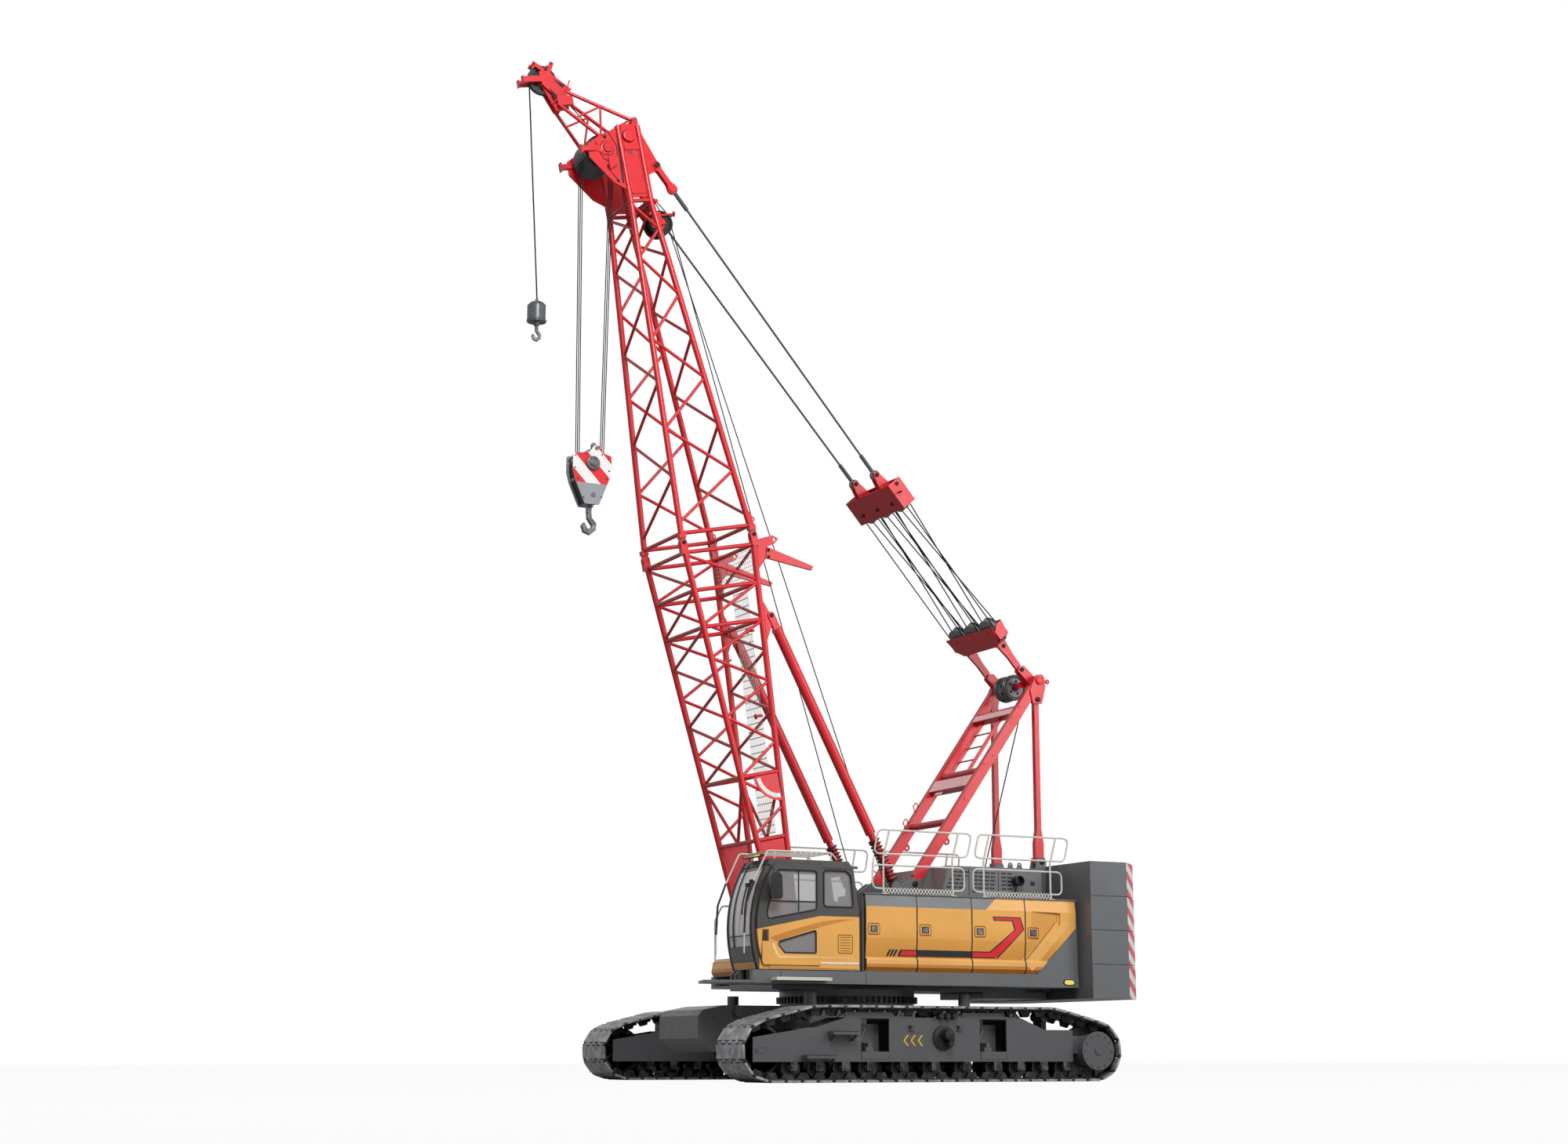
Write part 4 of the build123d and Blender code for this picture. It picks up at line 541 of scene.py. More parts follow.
# The camera stands near the ground, looks up by CAMERA_RISE and is turned from the side by CAMERA_TURN.
CAMERA_PLACE = (18.60, 34.28, 0.37)
CAMERA_RISE = 11.753
CAMERA_TURN = 26.969
FLOOR_REACH = 90


class CRANE_OT_studio(bpy.types.Operator):
    """Builds the floor, lamps, sky and camera"""
    bl_idname = "crane.studio"
    bl_label = "Studio"

    def execute(self, context):
        scene = context.scene
        studio = scene.crane_studio
        scene.view_settings.view_transform = "Standard"

        camera_data = bpy.data.cameras.new("Studio camera")
        camera_data.sensor_width = 36
        camera_data.lens = studio.lens
        camera_data.clip_end = 400
        camera = bpy.data.objects.new("Studio camera", camera_data)
        camera.location = CAMERA_PLACE
        camera.rotation_euler = (radians(90 + CAMERA_RISE), 0, radians(180 - CAMERA_TURN))
        scene.collection.objects.link(camera)
        scene.camera = camera

        floor = Form()
        floor.box((-FLOOR_REACH, -FLOOR_REACH, -0.02), (FLOOR_REACH, FLOOR_REACH, -0.002))
        material, tree = new_material("Studio floor, matt white vinyl")
        rays = add(tree, "LightPath")
        shade = add(tree, "BsdfDiffuse", {"Color": linear("#B8B8B8")})
        glow = add(tree, "Emission", {"Color": linear("#FFFFFF"), "Strength": 1.0})
        # The floor glows only to the camera, so that it is white there without more light on the crane.
        share = add(tree, "Math", {"operation": "MULTIPLY", 0: rays.outputs["Is Camera Ray"], 1: 0.94})
        mixed = add(tree, "MixShader", {0: share, 1: shade, 2: glow})
        add(tree, "OutputMaterial", {"Surface": mixed})
        FINISH["floor"] = material
        make_piece("studio_floor", floor, None, ("floor",))

        world = bpy.data.worlds.new("Studio sky")
        scene.world = world
        world.use_nodes = True
        tree = world.node_tree
        tree.nodes.clear()
        rays = add(tree, "LightPath")
        seen = add(tree, "Math", {
            "operation": "MAXIMUM", 0: rays.outputs["Is Camera Ray"], 1: rays.outputs["Is Transmission Ray"]})
        # White to the camera and through glass, half as bright in reflections, dim as a lamp.
        lit = add(tree, "Math", {
            "operation": "MULTIPLY_ADD", 0: rays.outputs["Is Glossy Ray"], 1: 0.45, 2: seen})
        strength = add(tree, "MapRange", {"Value": lit, "To Min": studio.sky})
        sky = add(tree, "Background", {"Color": linear("#FFFFFF"), "Strength": strength})
        add(tree, "OutputWorld", {"Surface": sky})

        middle = Vector((0.5, 0, 6.0))
        for name, place, size, power in (
                ("Key light", (9, 26, 24), 11, studio.key),
                ("Fill light", (-14, 20, 12), 12, studio.fill),
                ("Rim light", (-14, -18, 20), 10, studio.fill * 0.8)):
            lamp_data = bpy.data.lights.new(name, "AREA")
            lamp_data.size = size
            lamp_data.energy = power
            lamp = bpy.data.objects.new(name, lamp_data)
            lamp.location = place
            lamp.rotation_euler = (middle - lamp.location).to_track_quat("-Z", "Y").to_euler()
            scene.collection.objects.link(lamp)
        return {"FINISHED"}


def band_mask(tree):
    """Grey band along the roof edge of the housings, cut off slantwise at the rear."""
    return inside(tree, (0, 0, 1, 2.712), left_of_line((-1.83, 2.90), (-1.63, 2.712)))


def stripe_masks(tree):
    """Side stripe: its black outline and its red fill."""
    black = either(
        tree,
        polygon(tree, [(-1.83, 1.936), (0.02, 1.936), (-0.03, 2.045), (-1.70, 2.045)]),
        polygon(tree, [(-1.855, 1.936), (-1.70, 2.045), (-2.19, 2.425), (-2.36, 2.41)]),
        polygon(tree, [(-2.36, 2.41), (-2.16, 2.41), (-2.12, 2.54), (-2.29, 2.61)]),
        polygon(tree, [(-2.29, 2.61), (-2.12, 2.54), (-1.775, 2.54), (-1.75, 2.61)]),
        *[polygon(tree, [(x - 0.005, 1.936), (x + 0.037, 1.936), (x - 0.023, 2.045), (x - 0.065, 2.045)])
          for x in (0.07, 0.13, 0.19)])
    red = either(
        tree,
        polygon(tree, [(-0.33, 1.955), (-0.03, 1.955), (-0.07, 2.027), (-0.33, 2.027)]),
        polygon(tree, [(-1.84, 1.955), (-1.38, 1.955), (-1.38, 2.027), (-1.74, 2.027)]),
        polygon(tree, [(-1.84, 1.955), (-1.72, 2.027), (-2.205, 2.42), (-2.335, 2.405)]),
        polygon(tree, [(-2.335, 2.405), (-2.195, 2.405), (-2.14, 2.56), (-2.275, 2.592)]),
        polygon(tree, [(-2.275, 2.592), (-2.14, 2.558), (-1.795, 2.558), (-1.78, 2.592)]))
    return black, red


def painted_door_shading(tree, body):
    """Body colour with painted light and shade on the door skins: painted shade darkening towards the bottom,
    a painted highlight on the sill, painted shade along the bottom edge and on the rear panel, a painted
    highlight on its flange and painted shadow lines at its crease.
    """
    height = add(tree, "SeparateXYZ", {0: place_of(tree)}).outputs["Z"]
    curve = add(tree, "MapRange", {"Value": height, "From Min": 2.42, "From Max": 1.93, "To Max": 0.75})
    sill = inside(tree, (0, 0, 1, 1.815), (0, 0, -1, -1.915))
    lower = inside(tree, (0, 0, -1, -1.815))
    panel = polygon(tree, [(-2.41, 1.937), (-2.518, 2.707), (-3.012, 2.695), (-2.994, 2.547)])
    flange = polygon(tree, [(-2.501, 1.738), (-2.332, 1.935), (-3.119, 2.557), (-3.252, 2.542)])
    crease = either(
        tree,
        polygon(tree, [(-3.012, 2.688), (-2.518, 2.700), (-2.518, 2.714), (-3.012, 2.702)]),
        polygon(tree, [(-3.020, 2.547), (-3.004, 2.547), (-3.004, 2.700), (-3.020, 2.700)]),
        polygon(tree, [(-2.410, 1.925), (-2.392, 1.937), (-2.985, 2.557), (-3.000, 2.545)]))
    # The curve, lower and panel colours are painted shade, the sill and flange colours a painted highlight,
    # the crease colour a painted shadow line.
    return layered(tree, body, (curve, linear("#D18A35")), (sill, linear("#F0B565")),
                   (lower, linear("#C9812F")), (panel, linear("#E0A04A")), (flange, linear("#F1B969")),
                   (crease, linear("#A9692A")))


def house_colour(settings):
    """Pressed doors with painted light and shade, the grey roof band, the dark joints between them and the
    side stripe.
    """
    def colour(tree):
        black, red = stripe_masks(tree)
        joints = either(tree, *[between(tree, x - 0.012, x + 0.012) for x in DOOR_JOINTS])
        return layered(tree, painted_door_shading(tree, paint(settings.body)),
                       (band_mask(tree), paint(settings.trim)),
                       (joints, linear("#3A2615")), (black, linear("#17171A")), (red, paint(settings.stripe)))
    return colour


def cab_colour(settings):
    """Dark window frame above a line that falls towards the front, body colour below it."""
    def colour(tree):
        upper = either(
            tree,
            inside(tree, (1, 0, 0, 1.40), left_of_line((1.405, 2.535), (2.62, 2.285))),
            inside(tree, (-1, 0, 0, -1.41), (0, 0, 1, 2.535)),
            inside(tree, (1, 0, 0, 2.43), left_of_line((2.47, 1.70), (2.425, 2.33))))
        return layered(tree, paint(settings.body), (upper, paint(settings.cab)))
    return colour


def shell_colour(settings):
    """Cab body: body colour below the window line, dark front pillar, orange panel under the windscreen."""
    def colour(tree):
        dark = either(tree, inside(tree, (1, 0, 0, 2.30), (0, 0, 1, 2.29)), inside(tree, (1, 0, 0, 2.455)),
                      inside(tree, (0, 0, 1, 2.535)), inside(tree, (0, 0, -1, -1.705)))
        panel = inside(tree, (1, 0, 0, 2.44), (0, 0, 1, 1.706), (0, 0, -1, -1.812), (0, 1, 0, 0.90),
                       (0, -1, 0, -1.655))
        body = paint(settings.body)
        return layered(tree, body, (dark, paint(settings.cab)), (panel, body))
    return colour


def boom_colour(settings):
    """Signal red, with painted shade in a deeper red where a round tube turns away from the side."""
    def colour(tree):
        normal = add(tree, "NewGeometry").outputs["Normal"]
        turned = add(tree, "SeparateXYZ", {0: normal}).outputs["Y"]
        sideways = add(tree, "Math", {"operation": "ABSOLUTE", 0: turned})
        flat = add(tree, "MapRange", {"Value": sideways, "From Min": 0.55, "From Max": 0.97})
        # The deeper red is painted shade on faces turned away from the lit side.
        return layered(tree, linear("#B8141E"), (flat, paint(settings.boom)))
    return colour


def step_colour(settings):
    """Pale grating on the step under the door, mid grey on the platform."""
    def colour(tree):
        pale = inside(tree, (0, 1, 0, 1.7501), (0, 0, 1, 1.5305))
        return layered(tree, paint(settings.trim), (pale, paint(settings.rails)))
    return colour


def pendant_colour(settings):
    """Signal red on the links at the boom head, dark galvanised steel on the rope and its sockets."""
    def colour(tree):
        links = inside(tree, (cos(TACKLE_ANGLE), 0, sin(TACKLE_ANGLE), LINKS_START))
        return layered(tree, linear("#4B4E54"), (links, paint(settings.boom)))
    return colour


def warning_colour(settings, direction, period, start, edges, ground):
    """White and red warning stripes inside some edges; the ground colour elsewhere."""
    def colour(tree):
        reach = add(tree, "VectorMath", {"operation": "DOT_PRODUCT", 0: place_of(tree), 1: direction})
        turns = add(tree, "Math", {
            "operation": "MULTIPLY_ADD", 0: reach.outputs["Value"], 1: 1 / period, 2: start})
        part = add(tree, "Math", {"operation": "FRACT", 0: turns})
        red = add(tree, "Math", {"operation": "GREATER_THAN", 0: part, 1: 0.5})
        stripes = layered(tree, linear("#F2F1EE"), (red, paint(settings.stripe)))
        striped = either(tree, *[inside(tree, *group) for group in edges])
        return layered(tree, paint(ground), (striped, stripes))
    return colour


class CRANE_OT_finishes(bpy.types.Operator):
    """Makes the materials and gives each CAD node its own"""
    bl_idname = "crane.finishes"
    bl_label = "Finishes"

    def execute(self, context):
        settings = context.scene.crane_paint
        ropes = context.scene.crane_ropes
        FINISH.update({
            # Painted steel: soft gloss that fades where dust settles.
            "boom": enamel("Boom enamel, sprayed signal red", boom_colour(settings), 0.34, 0.08),
            "house": enamel("Housing enamel, orange yellow with grey band", house_colour(settings), 0.36),
            "cab": enamel("Cab enamel, orange yellow and dark grey", cab_colour(settings), 0.36),
            "shell": enamel("Cab enamel, dark pillars over orange yellow", shell_colour(settings), 0.36),
            # Painted shade on the creases of the door and cab side, and a painted highlight on their lit
            # edges.
            "crease_shade": enamel("Housing enamel, shaded crease", linear("#CB8634"), 0.4),
            "light": enamel("Housing enamel, lit edge", linear("#F9D196"), 0.4),
            "shadow": plain("Boom enamel, painted shadow in its gaps", "#5E0D12", 0.6, cell=20),
            "seam": plain("Polyurethane sealer, brown", "#7E4F22", 0.6, cell=20),
            # Pale pink painted highlight on the upward gantry plates, where the light falls.
            "painted_highlight": enamel("Boom enamel, chalked on upward plates", linear("#FFC4C6"), 0.5),
            "trim": enamel("Deck enamel, mid grey", paint(settings.trim), 0.42),
            "chassis": enamel("Chassis enamel, dark grey", paint(settings.chassis), 0.45, 0.25),
            "weight": enamel("Counterweight enamel with warning stripes", warning_colour(
                settings, (-0.44, 0, 1), 0.2925, 0.0,
                [[(-1, 1, 0, 6.252)], [(-1, -1, 0, 6.252)]], settings.trim), 0.45),
            "block": enamel("Hook block enamel with warning stripes", warning_colour(
                settings, (0.72, 0, -0.69), 0.37, 0.789,
                [[(0, 1, 0, 0.149), (0, 0, 1, 9.478)], [(0, -1, 0, 0.149), (0, 0, 1, 9.478)]],
                settings.block), 0.4),
            "steps": enamel("Deck enamel, mid grey with pale grating", step_colour(settings), 0.5),
            "pendants": enamel("Pendant finish, galvanised with red links", pendant_colour(settings), 0.42),
            "hood": enamel("Hood enamel, light grey", paint(settings.hood), 0.42),
            # Dull black and pale coatings that keep small fittings from shining.
            "black": plain("Black oxide coating, also painted shade in holes", "#101012", 0.5, 0.2, cell=30),
            "rails": plain("Powder coat on steel tube, pale grey", "#D6D2C8", 0.4, cell=60),
            # Bare steel: grain, dark pits and bright worn edges.
            # The pale grey of the shoe pads is partly their wear and partly painted light on their lit faces;
            # the dark links are partly oiled steel and partly painted shade in the gaps.
            "tracks": cast_metal(
                "Cast manganese steel, worn shoe faces", "#808184", "#B4B5B7", 0.42, 0.25, 30),
            "links": cast_metal("Cast manganese steel, oiled links", "#1E1E1F", "#4A4A4C", 0.45, 0.4),
            "rollers": cast_metal("Forged steel, oiled black", "#2A2A2C", "#6A6A6D", 0.42, 0.6),
            "forged": cast_metal("Forged steel, phosphated grey", "#5B5C60", "#98999D", 0.42, 0.45, 30),
            "ball": enamel("Ball enamel, slate grey", linear("#585B61"), 0.3),
            "ring": cast_metal("Forged steel, oiled slewing ring", "#2C2C2D", "#5A5A5C", 0.42, 0.4, 30),
            "rim": plain("Machined sheave flank", "#77797C", 0.35, 0.2, cell=20),
            # Moulded goods: even and dark, some with a sheen.
            "nylon": plain("Cast nylon sheave, black", "#222325", 0.38, cell=30),
            "rubber": plain("EPDM rubber, moulded black", "#161617", 0.6, cell=12),
            "plastic": plain("ABS, moulded black", "#1D1D1F", 0.42, cell=20, coat=0.1),
            "chrome": plain("Chromed tube", "#C9C9CB", 0.14, 1.0, cell=80),
            "galvanised": plain("Galvanised grating", "#A9ABAD", 0.5, 0.8, cell=25),
            "glass": safety_glass("Laminated glass, light grey tint", 0.52, 0.86),
            "print": plain("Toughened glass, printed grey", "#68676A", 0.12, cell=90, coat=0.3),
            "mirror_back": plain("ABS mirror housing, gloss black", "#0C0C0D", 0.2, cell=60, coat=0.3),
            "cloth": woven("Seat cloth, woven polyester", "#3A3C41", 1.5),
            # Lenses glow a little; films lie flat and saturated on the paint.
            "yellow": lamp_lens("Polycarbonate lens, yellow", "#F2D21B", 0.25),
            "red_lens": lamp_lens("Polycarbonate lens, red", "#D8341F", 0.15),
            "green_lens": lamp_lens("Polycarbonate lens, green", "#6CC24A", 0.15),
            "white": plain("Vinyl film, white", "#F1F1EE", 0.45),
            "chevron": plain("Vinyl film, yellow", "#E9B213", 0.45),
            "marking": plain("Vinyl film, black, also painted shade in the hood slots", "#17171A", 0.45),
            "rope": wire_rope("Galvanised wire rope, greased", ropes.lay),
        })
        kinds = {
            "boom": "boom_base boom_top tip_frame gantry_legs gantry_head gantry_backstays "
                    "tackle_lower_block tackle_spreader backstop_tubes backstop_rods",
            "house": "left_door_1 left_door_2 left_door_3 "
                     "left_door_4 right_door_1 right_door_2 house_right",
            "cab": "cab_door",
            "shell": "cab_shell",
            "trim": "house_left deck",
            "chassis": "carbody track_frame_left track_frame_right final_drives",
            "weight": "counterweight",
            "block": "main_block",
            "tracks": "track_left track_right",
            "rollers": "track_rollers idlers winch_front winch_rear winch_luffing engine",
            "forged": "main_hook aux_hook",
            "ball": "aux_ball",
            "ring": "slewing_gear",
            "nylon": "head_sheaves deflector_sheaves tip_sheave gantry_sheaves",
            "rope": "main_falls aux_fall",
            "pendants": "pendants",
            "galvanised": "boom_walkway",
            "rails": "handrails",
            "steps": "steps",
            "hood": "engine_hood",
            "cloth": "cab_seat",
            "glass": "cab_glass door_glass",
        }
        for kind, nodes in kinds.items():
            for node in nodes.split():
                mesh = NODES[node].data
                if mesh.materials:
                    mesh.materials[0] = FINISH[kind]
                else:
                    mesh.materials.append(FINISH[kind])
        return {"FINISHED"}


# ---------------------------------------------------------------- ropes
def rope_piece(name, runs, radius, sides=8, steps=24):
    """Straight or bent ropes in one mesh, with their length in the V of the UV map."""
    mesh = bmesh.new()
    layer = mesh.loops.layers.uv.new("lay")
    for run in runs:
        points = [Vector(p) for p in run]
        if len(points) == 2:
            points = [points[0].lerp(points[1], k / steps) for k in range(steps + 1)]
        first, _ = across(points[1] - points[0])
        rings, reach = [], 0.0
        for i, point in enumerate(points):
            ahead = (points[min(i + 1, len(points) - 1)] - points[max(i - 1, 0)]).normalized()
            first = (first - ahead * first.dot(ahead)).normalized()
            second = ahead.cross(first)
            if i:
                reach += (point - points[i - 1]).length
            rings.append((reach, [mesh.verts.new(p) for p in circle(point, first, second, radius, sides)]))
        for (low, near), (high, far) in zip(rings, rings[1:]):
            for k in range(sides):
                j = (k + 1) % sides
                face = mesh.faces.new((near[k], near[j], far[j], far[k]))
                for loop, where in zip(face.loops, ((k, low), (k + 1, low), (k + 1, high), (k, high))):
                    loop[layer].uv = (where[0] / sides, where[1])
        mesh.faces.new(list(reversed(rings[0][1])))
        mesh.faces.new(rings[-1][1])
    data = bpy.data.meshes.new(name)
    bmesh.ops.recalc_face_normals(mesh, faces=mesh.faces)
    mesh.to_mesh(data)
    mesh.free()
    data.materials.append(FINISH["rope"])
    data.shade_smooth()
    piece = bpy.data.objects.new(name, data)
    bpy.context.scene.collection.objects.link(piece)
    return piece


def arc(centre, radius, start, end, steps=12):
    """Points on an arc in the X Z plane, angles in degrees from +X towards +Z."""
    return [Vector((centre[0] + radius * cos(radians(start + (end - start) * k / steps)), centre[1],
                    centre[2] + radius * sin(radians(start + (end - start) * k / steps))))
            for k in range(steps + 1)]


HEAD = on_boom(*HEAD_AXLE, 0)
TIP = on_boom(*TIP_AXLE, 0)
BLOCK = Vector((4.715, 0, 9.811))
BALL = Vector((5.686, 0, 12.270))
FALL_YS = (-0.078, 0.0, 0.078)
HEAD_REACH = 0.2763
BLOCK_REACH = 0.2113
TIP_REACH = 0.2269
TACKLE_LOW = 0.876
TACKLE_HIGH = 3.685


class CRANE_OT_hoist_ropes(bpy.types.Operator):
    """Builds the falls of both hoists and the lines back to their winches"""
    bl_idname = "crane.hoist_ropes"
    bl_label = "Hoist Ropes"

    def execute(self, context):
        radius = context.scene.crane_ropes.hoist
        falls = [[(HEAD.x + side * HEAD_REACH, y, HEAD.z), (BLOCK.x + side * BLOCK_REACH, y, BLOCK.z)]
                 for y in FALL_YS for side in (1, -1)]
        piece = rope_piece("main_fall_ropes", falls, radius)
        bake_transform(piece)
        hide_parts("main_falls")

        drop = [(TIP.x + TIP_REACH, 0, TIP.z), (BALL.x, 0, BALL.z + 0.226)]
        piece = rope_piece("auxiliary_fall_rope", [drop], radius * 1.4)
        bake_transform(piece)
        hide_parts("aux_fall")

        wraps = [arc((HEAD.x, y, HEAD.z), HEAD_REACH, 0, 180) for y in FALL_YS]
        wraps += [arc((TIP.x, 0, TIP.z), TIP_REACH, 0, 150)]
        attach(rope_piece("head_rope_wraps", wraps, radius), "boom")
        bights = [arc((BLOCK.x, y, BLOCK.z), BLOCK_REACH, 0, -180) for y in FALL_YS]
        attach(rope_piece("block_rope_wraps", bights, radius), "main_block")

        lead = 0.2 + radius
        over = [
            [on_boom(14.80, -1.09, 0.02), on_boom(12.60, 0.50, 0.06), on_boom(12.40, 0.352 + lead, 0.06)],
            [on_boom(13.62, -0.30, -0.10), on_boom(12.90, 0.38, -0.08), on_boom(12.40, 0.352 + lead, -0.06)]]
        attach(rope_piece("boom_head_lines", over, radius), "boom")
        for name, y, winch_x, drum_y in (("front_hoist_line", 0.06, -0.06, 0.10),
                                         ("rear_hoist_line", -0.06, -0.84, -0.10)):
            drum = Vector((winch_x - WINCH_RADIUS, drum_y, WINCH_Z))
            top = on_boom(DEFLECTOR[0], DEFLECTOR[1] + lead, y)
            line = [drum.lerp(top, k / 40) for k in range(41)]
            piece = rope_piece(name, [line], radius)
            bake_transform(piece)
        return {"FINISHED"}


class CRANE_OT_luffing_ropes(bpy.types.Operator):
    """Builds the crossing falls of the luffing tackle and its line to the rear winch"""
    bl_idname = "crane.luffing_ropes"
    bl_label = "Luffing Ropes"

    def execute(self, context):
        radius = context.scene.crane_ropes.luffing
        crossings = (
            (-0.713, -0.713, -0.05), (-0.713, -0.303, 0.05), (-0.303, -0.713, 0.05), (-0.303, -0.205, -0.05),
            (-0.205, -0.303, -0.05), (-0.205, 0.205, 0.05), (0.205, -0.205, 0.05), (0.205, 0.303, -0.05),
            (0.303, 0.205, -0.05), (0.303, 0.713, 0.05), (0.713, 0.303, 0.05), (0.713, 0.713, -0.05))
        runs = [[on_tackle(TACKLE_LOW, side, low), on_tackle(TACKLE_HIGH, side, high)]
                for low, high, side in crossings]
        piece = rope_piece("luffing_falls", runs, radius)
        on_tackle(TACKLE_LOW + 0.1, 0, 0)
        on_tackle(TACKLE_HIGH - 0.2, 0, 0)
        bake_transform(piece)
        line = [(GANTRY_SHEAVE[0] - 0.228, 0.13, 6.66), (sum(LUFFING_DRUM), 0.10, WINCH_Z)]
        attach(rope_piece("luffing_line", [line], radius), "superstructure")
        return {"FINISHED"}


# ---------------------------------------------------------------- rails
class CRANE_OT_rails(bpy.types.Operator):
    """Builds the handrails and toe boards on both housings"""
    bl_idname = "crane.rails"
    bl_label = "Handrails"

    def execute(self, context):
        sizes = context.scene.crane_rails
        bar, bend = sizes.bar, sizes.bend
        form = Form()
        for side in (1, -1):
            foot, head = side * 1.71, side * 1.74
            for front, rear in ((0.45, -1.25), (-1.42, -3.13)):
                lower = [(front, foot, 3.00), (front, foot, 3.37), (rear, foot, 3.37), (rear, foot, 3.00)]
                form.sweep(rounded(lower, bend, 5, closed=True), bar, 8, closed=True)
                upper = [(front - 0.02, foot, 3.55), (front - 0.10, head, 3.93), (rear - 0.14, head, 3.93),
                         (rear - 0.06, foot, 3.55)]
                form.sweep(rounded(upper, bend, 5, closed=True), bar, 8, closed=True)
                for post in (front - 0.20, rear + 0.22):
                    form.sweep(rounded([(post, foot, 2.915), (post, foot, 3.50), (post - 0.10, head, 3.93)],
                                       0.06, 3),
                               bar * 1.1, 8)
                    form.box((post - 0.05, foot - 0.05, 2.912), (post + 0.05, foot + 0.05, 2.924))
                low, high = rear + 0.22, front - 0.20
                pitch = (high - low) / sizes.slots
                for z, tall in ((2.925, 0.024), (3.000, 0.016)):
                    form.box((low, foot + 0.015, z), (high, foot + 0.021, z + tall))
                for k in range(sizes.slots + 1):
                    x = low + k * pitch
                    form.box((x - pitch * 0.22, foot + 0.015, 2.925), (x + pitch * 0.22, foot + 0.021, 3.016))
        piece = make_piece("housing_rails", form, "superstructure", ("rails",))
        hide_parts("handrails")
        return {"FINISHED"}


# ---------------------------------------------------------------- housings
class CRANE_OT_housings(bpy.types.Operator):
    """Adds the door latches, the marker lamp and the deck seams"""
    bl_idname = "crane.housings"
    bl_label = "Housing Fittings"

    def execute(self, context):
        doors = (("left_door_1", 0.450, 1), ("left_door_2", -0.488, 1), ("left_door_3", -1.512, 1),
                 ("left_door_4", -2.530, 1), ("right_door_1", 0.450, -1), ("right_door_2", -0.488, -1))
        for body, x, side in doors:
            form = Form()
            y = side * (HOUSE_FACE - 0.013)
            flush = side * HOUSE_FACE
            frame_line = [(x - 0.10, flush, 2.275), (x + 0.10, flush, 2.275), (x + 0.10, flush, 2.445),
                          (x - 0.10, flush, 2.445)]
            form.sweep(rounded(frame_line, 0.03, 3, closed=True), 0.007, 6, closed=True)
            form.paint = 1
            form.box((x - 0.066, y - 0.004, 2.305), (x + 0.066, y + side * 0.016, 2.415))
            form.paint = 2
            form.box((x - 0.048, y, 2.318), (x + 0.048, y + side * 0.022, 2.402))
            form.turned([(0, 0.014), (0.008, 0.012)], (x + 0.012, y + side * 0.018, 2.36), (0, side, 0), 12)
            make_piece(f"{body}_latch", form, body, ("seam", "rubber", "forged"),
                       0.002)

        form = Form()
        for x in (-3.27, -3.14):
            form.turned([(0, 0.048), (0.012, 0.046)], (x, 1.748, 1.572), SIDE, 20)
        form.box((-3.27, 1.748, 1.524), (-3.14, 1.760, 1.620))
        form.paint = 1
        for x in (-3.265, -3.145):
            form.turned([(0, 0.036), (0.018, 0.030)], (x, 1.752, 1.572), SIDE, 20)
        form.box((-3.265, 1.752, 1.536), (-3.145, 1.768, 1.608))
        make_piece("rear_marker_lamp", form, "superstructure", ("rubber", "yellow"))

        form = Form()
        for x in (2.10, 0.60):
            form.box((x - 0.004, 1.751, 1.50), (x + 0.004, 1.753, 1.68))
        make_piece("deck_seams", form, "superstructure", ("rubber",))
        return {"FINISHED"}


class CRANE_OT_hood(bpy.types.Operator):
    """Adds slots, a breather pipe and lifting eyes to the engine hood"""
    bl_idname = "crane.hood"
    bl_label = "Engine Hood"

    def execute(self, context):
        form = Form()
        # The slots are thin black sheets: painted shade in the louvre openings.
        for side in (1, -1):
            y = side * HOOD_FACE
            for front, slant, columns in ((-1.30, 0.09, 3), (-1.70, 0.02, 4), (-2.24, 0.0, 2)):
                for row in range(6):
                    z = 3.355 - row * 0.063
                    for column in range(columns):
                        x = front + row * slant / 3 - (column + 0.5) * 0.112
                        form.box((x - 0.043, y - 0.003, z - 0.013), (x + 0.043, y + 0.003, z + 0.013))
            for x in (-1.62, -2.19):
                form.box((x - 0.005, y - 0.003, 2.96), (x + 0.005, y + 0.003, 3.42))
            form.box((-2.90, y - 0.003, 3.17), (-2.82, y + 0.003, 3.24))
        make_piece("hood_slots", form, "superstructure", ("marking",))

        form = Form()
        form.turned([(0, 0.085), (0.14, 0.085), (0.145, 0.075), (0.06, 0.070)], (-2.53, 1.25, 3.235), SIDE,
                    20)
        form.rod((-2.50, 1.30, 3.20), (-2.50, 1.30, 2.96), 0.022, 10)
        make_piece("breather_pipes", form, "superstructure", ("plastic",))

        form = Form()
        for x in (-2.62, -2.80):
            for y in (0.95, -0.95):
                form.plate([(x - 0.07, y - 0.01, 3.45), (x + 0.07, y - 0.01, 3.45),
                            (x + 0.03, y - 0.01, 3.54),
                            (x - 0.03, y - 0.01, 3.54)], (0, 0.02, 0))
                form.ring((x, y, ROOF_BAR_Z), (0, 1, 0), 0.034, 0.012, 16, 6)
        make_piece("hood_lifting_eyes", form, "superstructure", ("trim",))
        return {"FINISHED"}


# ---------------------------------------------------------------- cab
ROOF_BAR_Z = 3.53


def screen_x(z):
    """Where the bowed windscreen lies at a height."""
    return SCREEN_CENTRE[0] + (SCREEN_RADIUS ** 2 - (z - SCREEN_CENTRE[1]) ** 2) ** 0.5


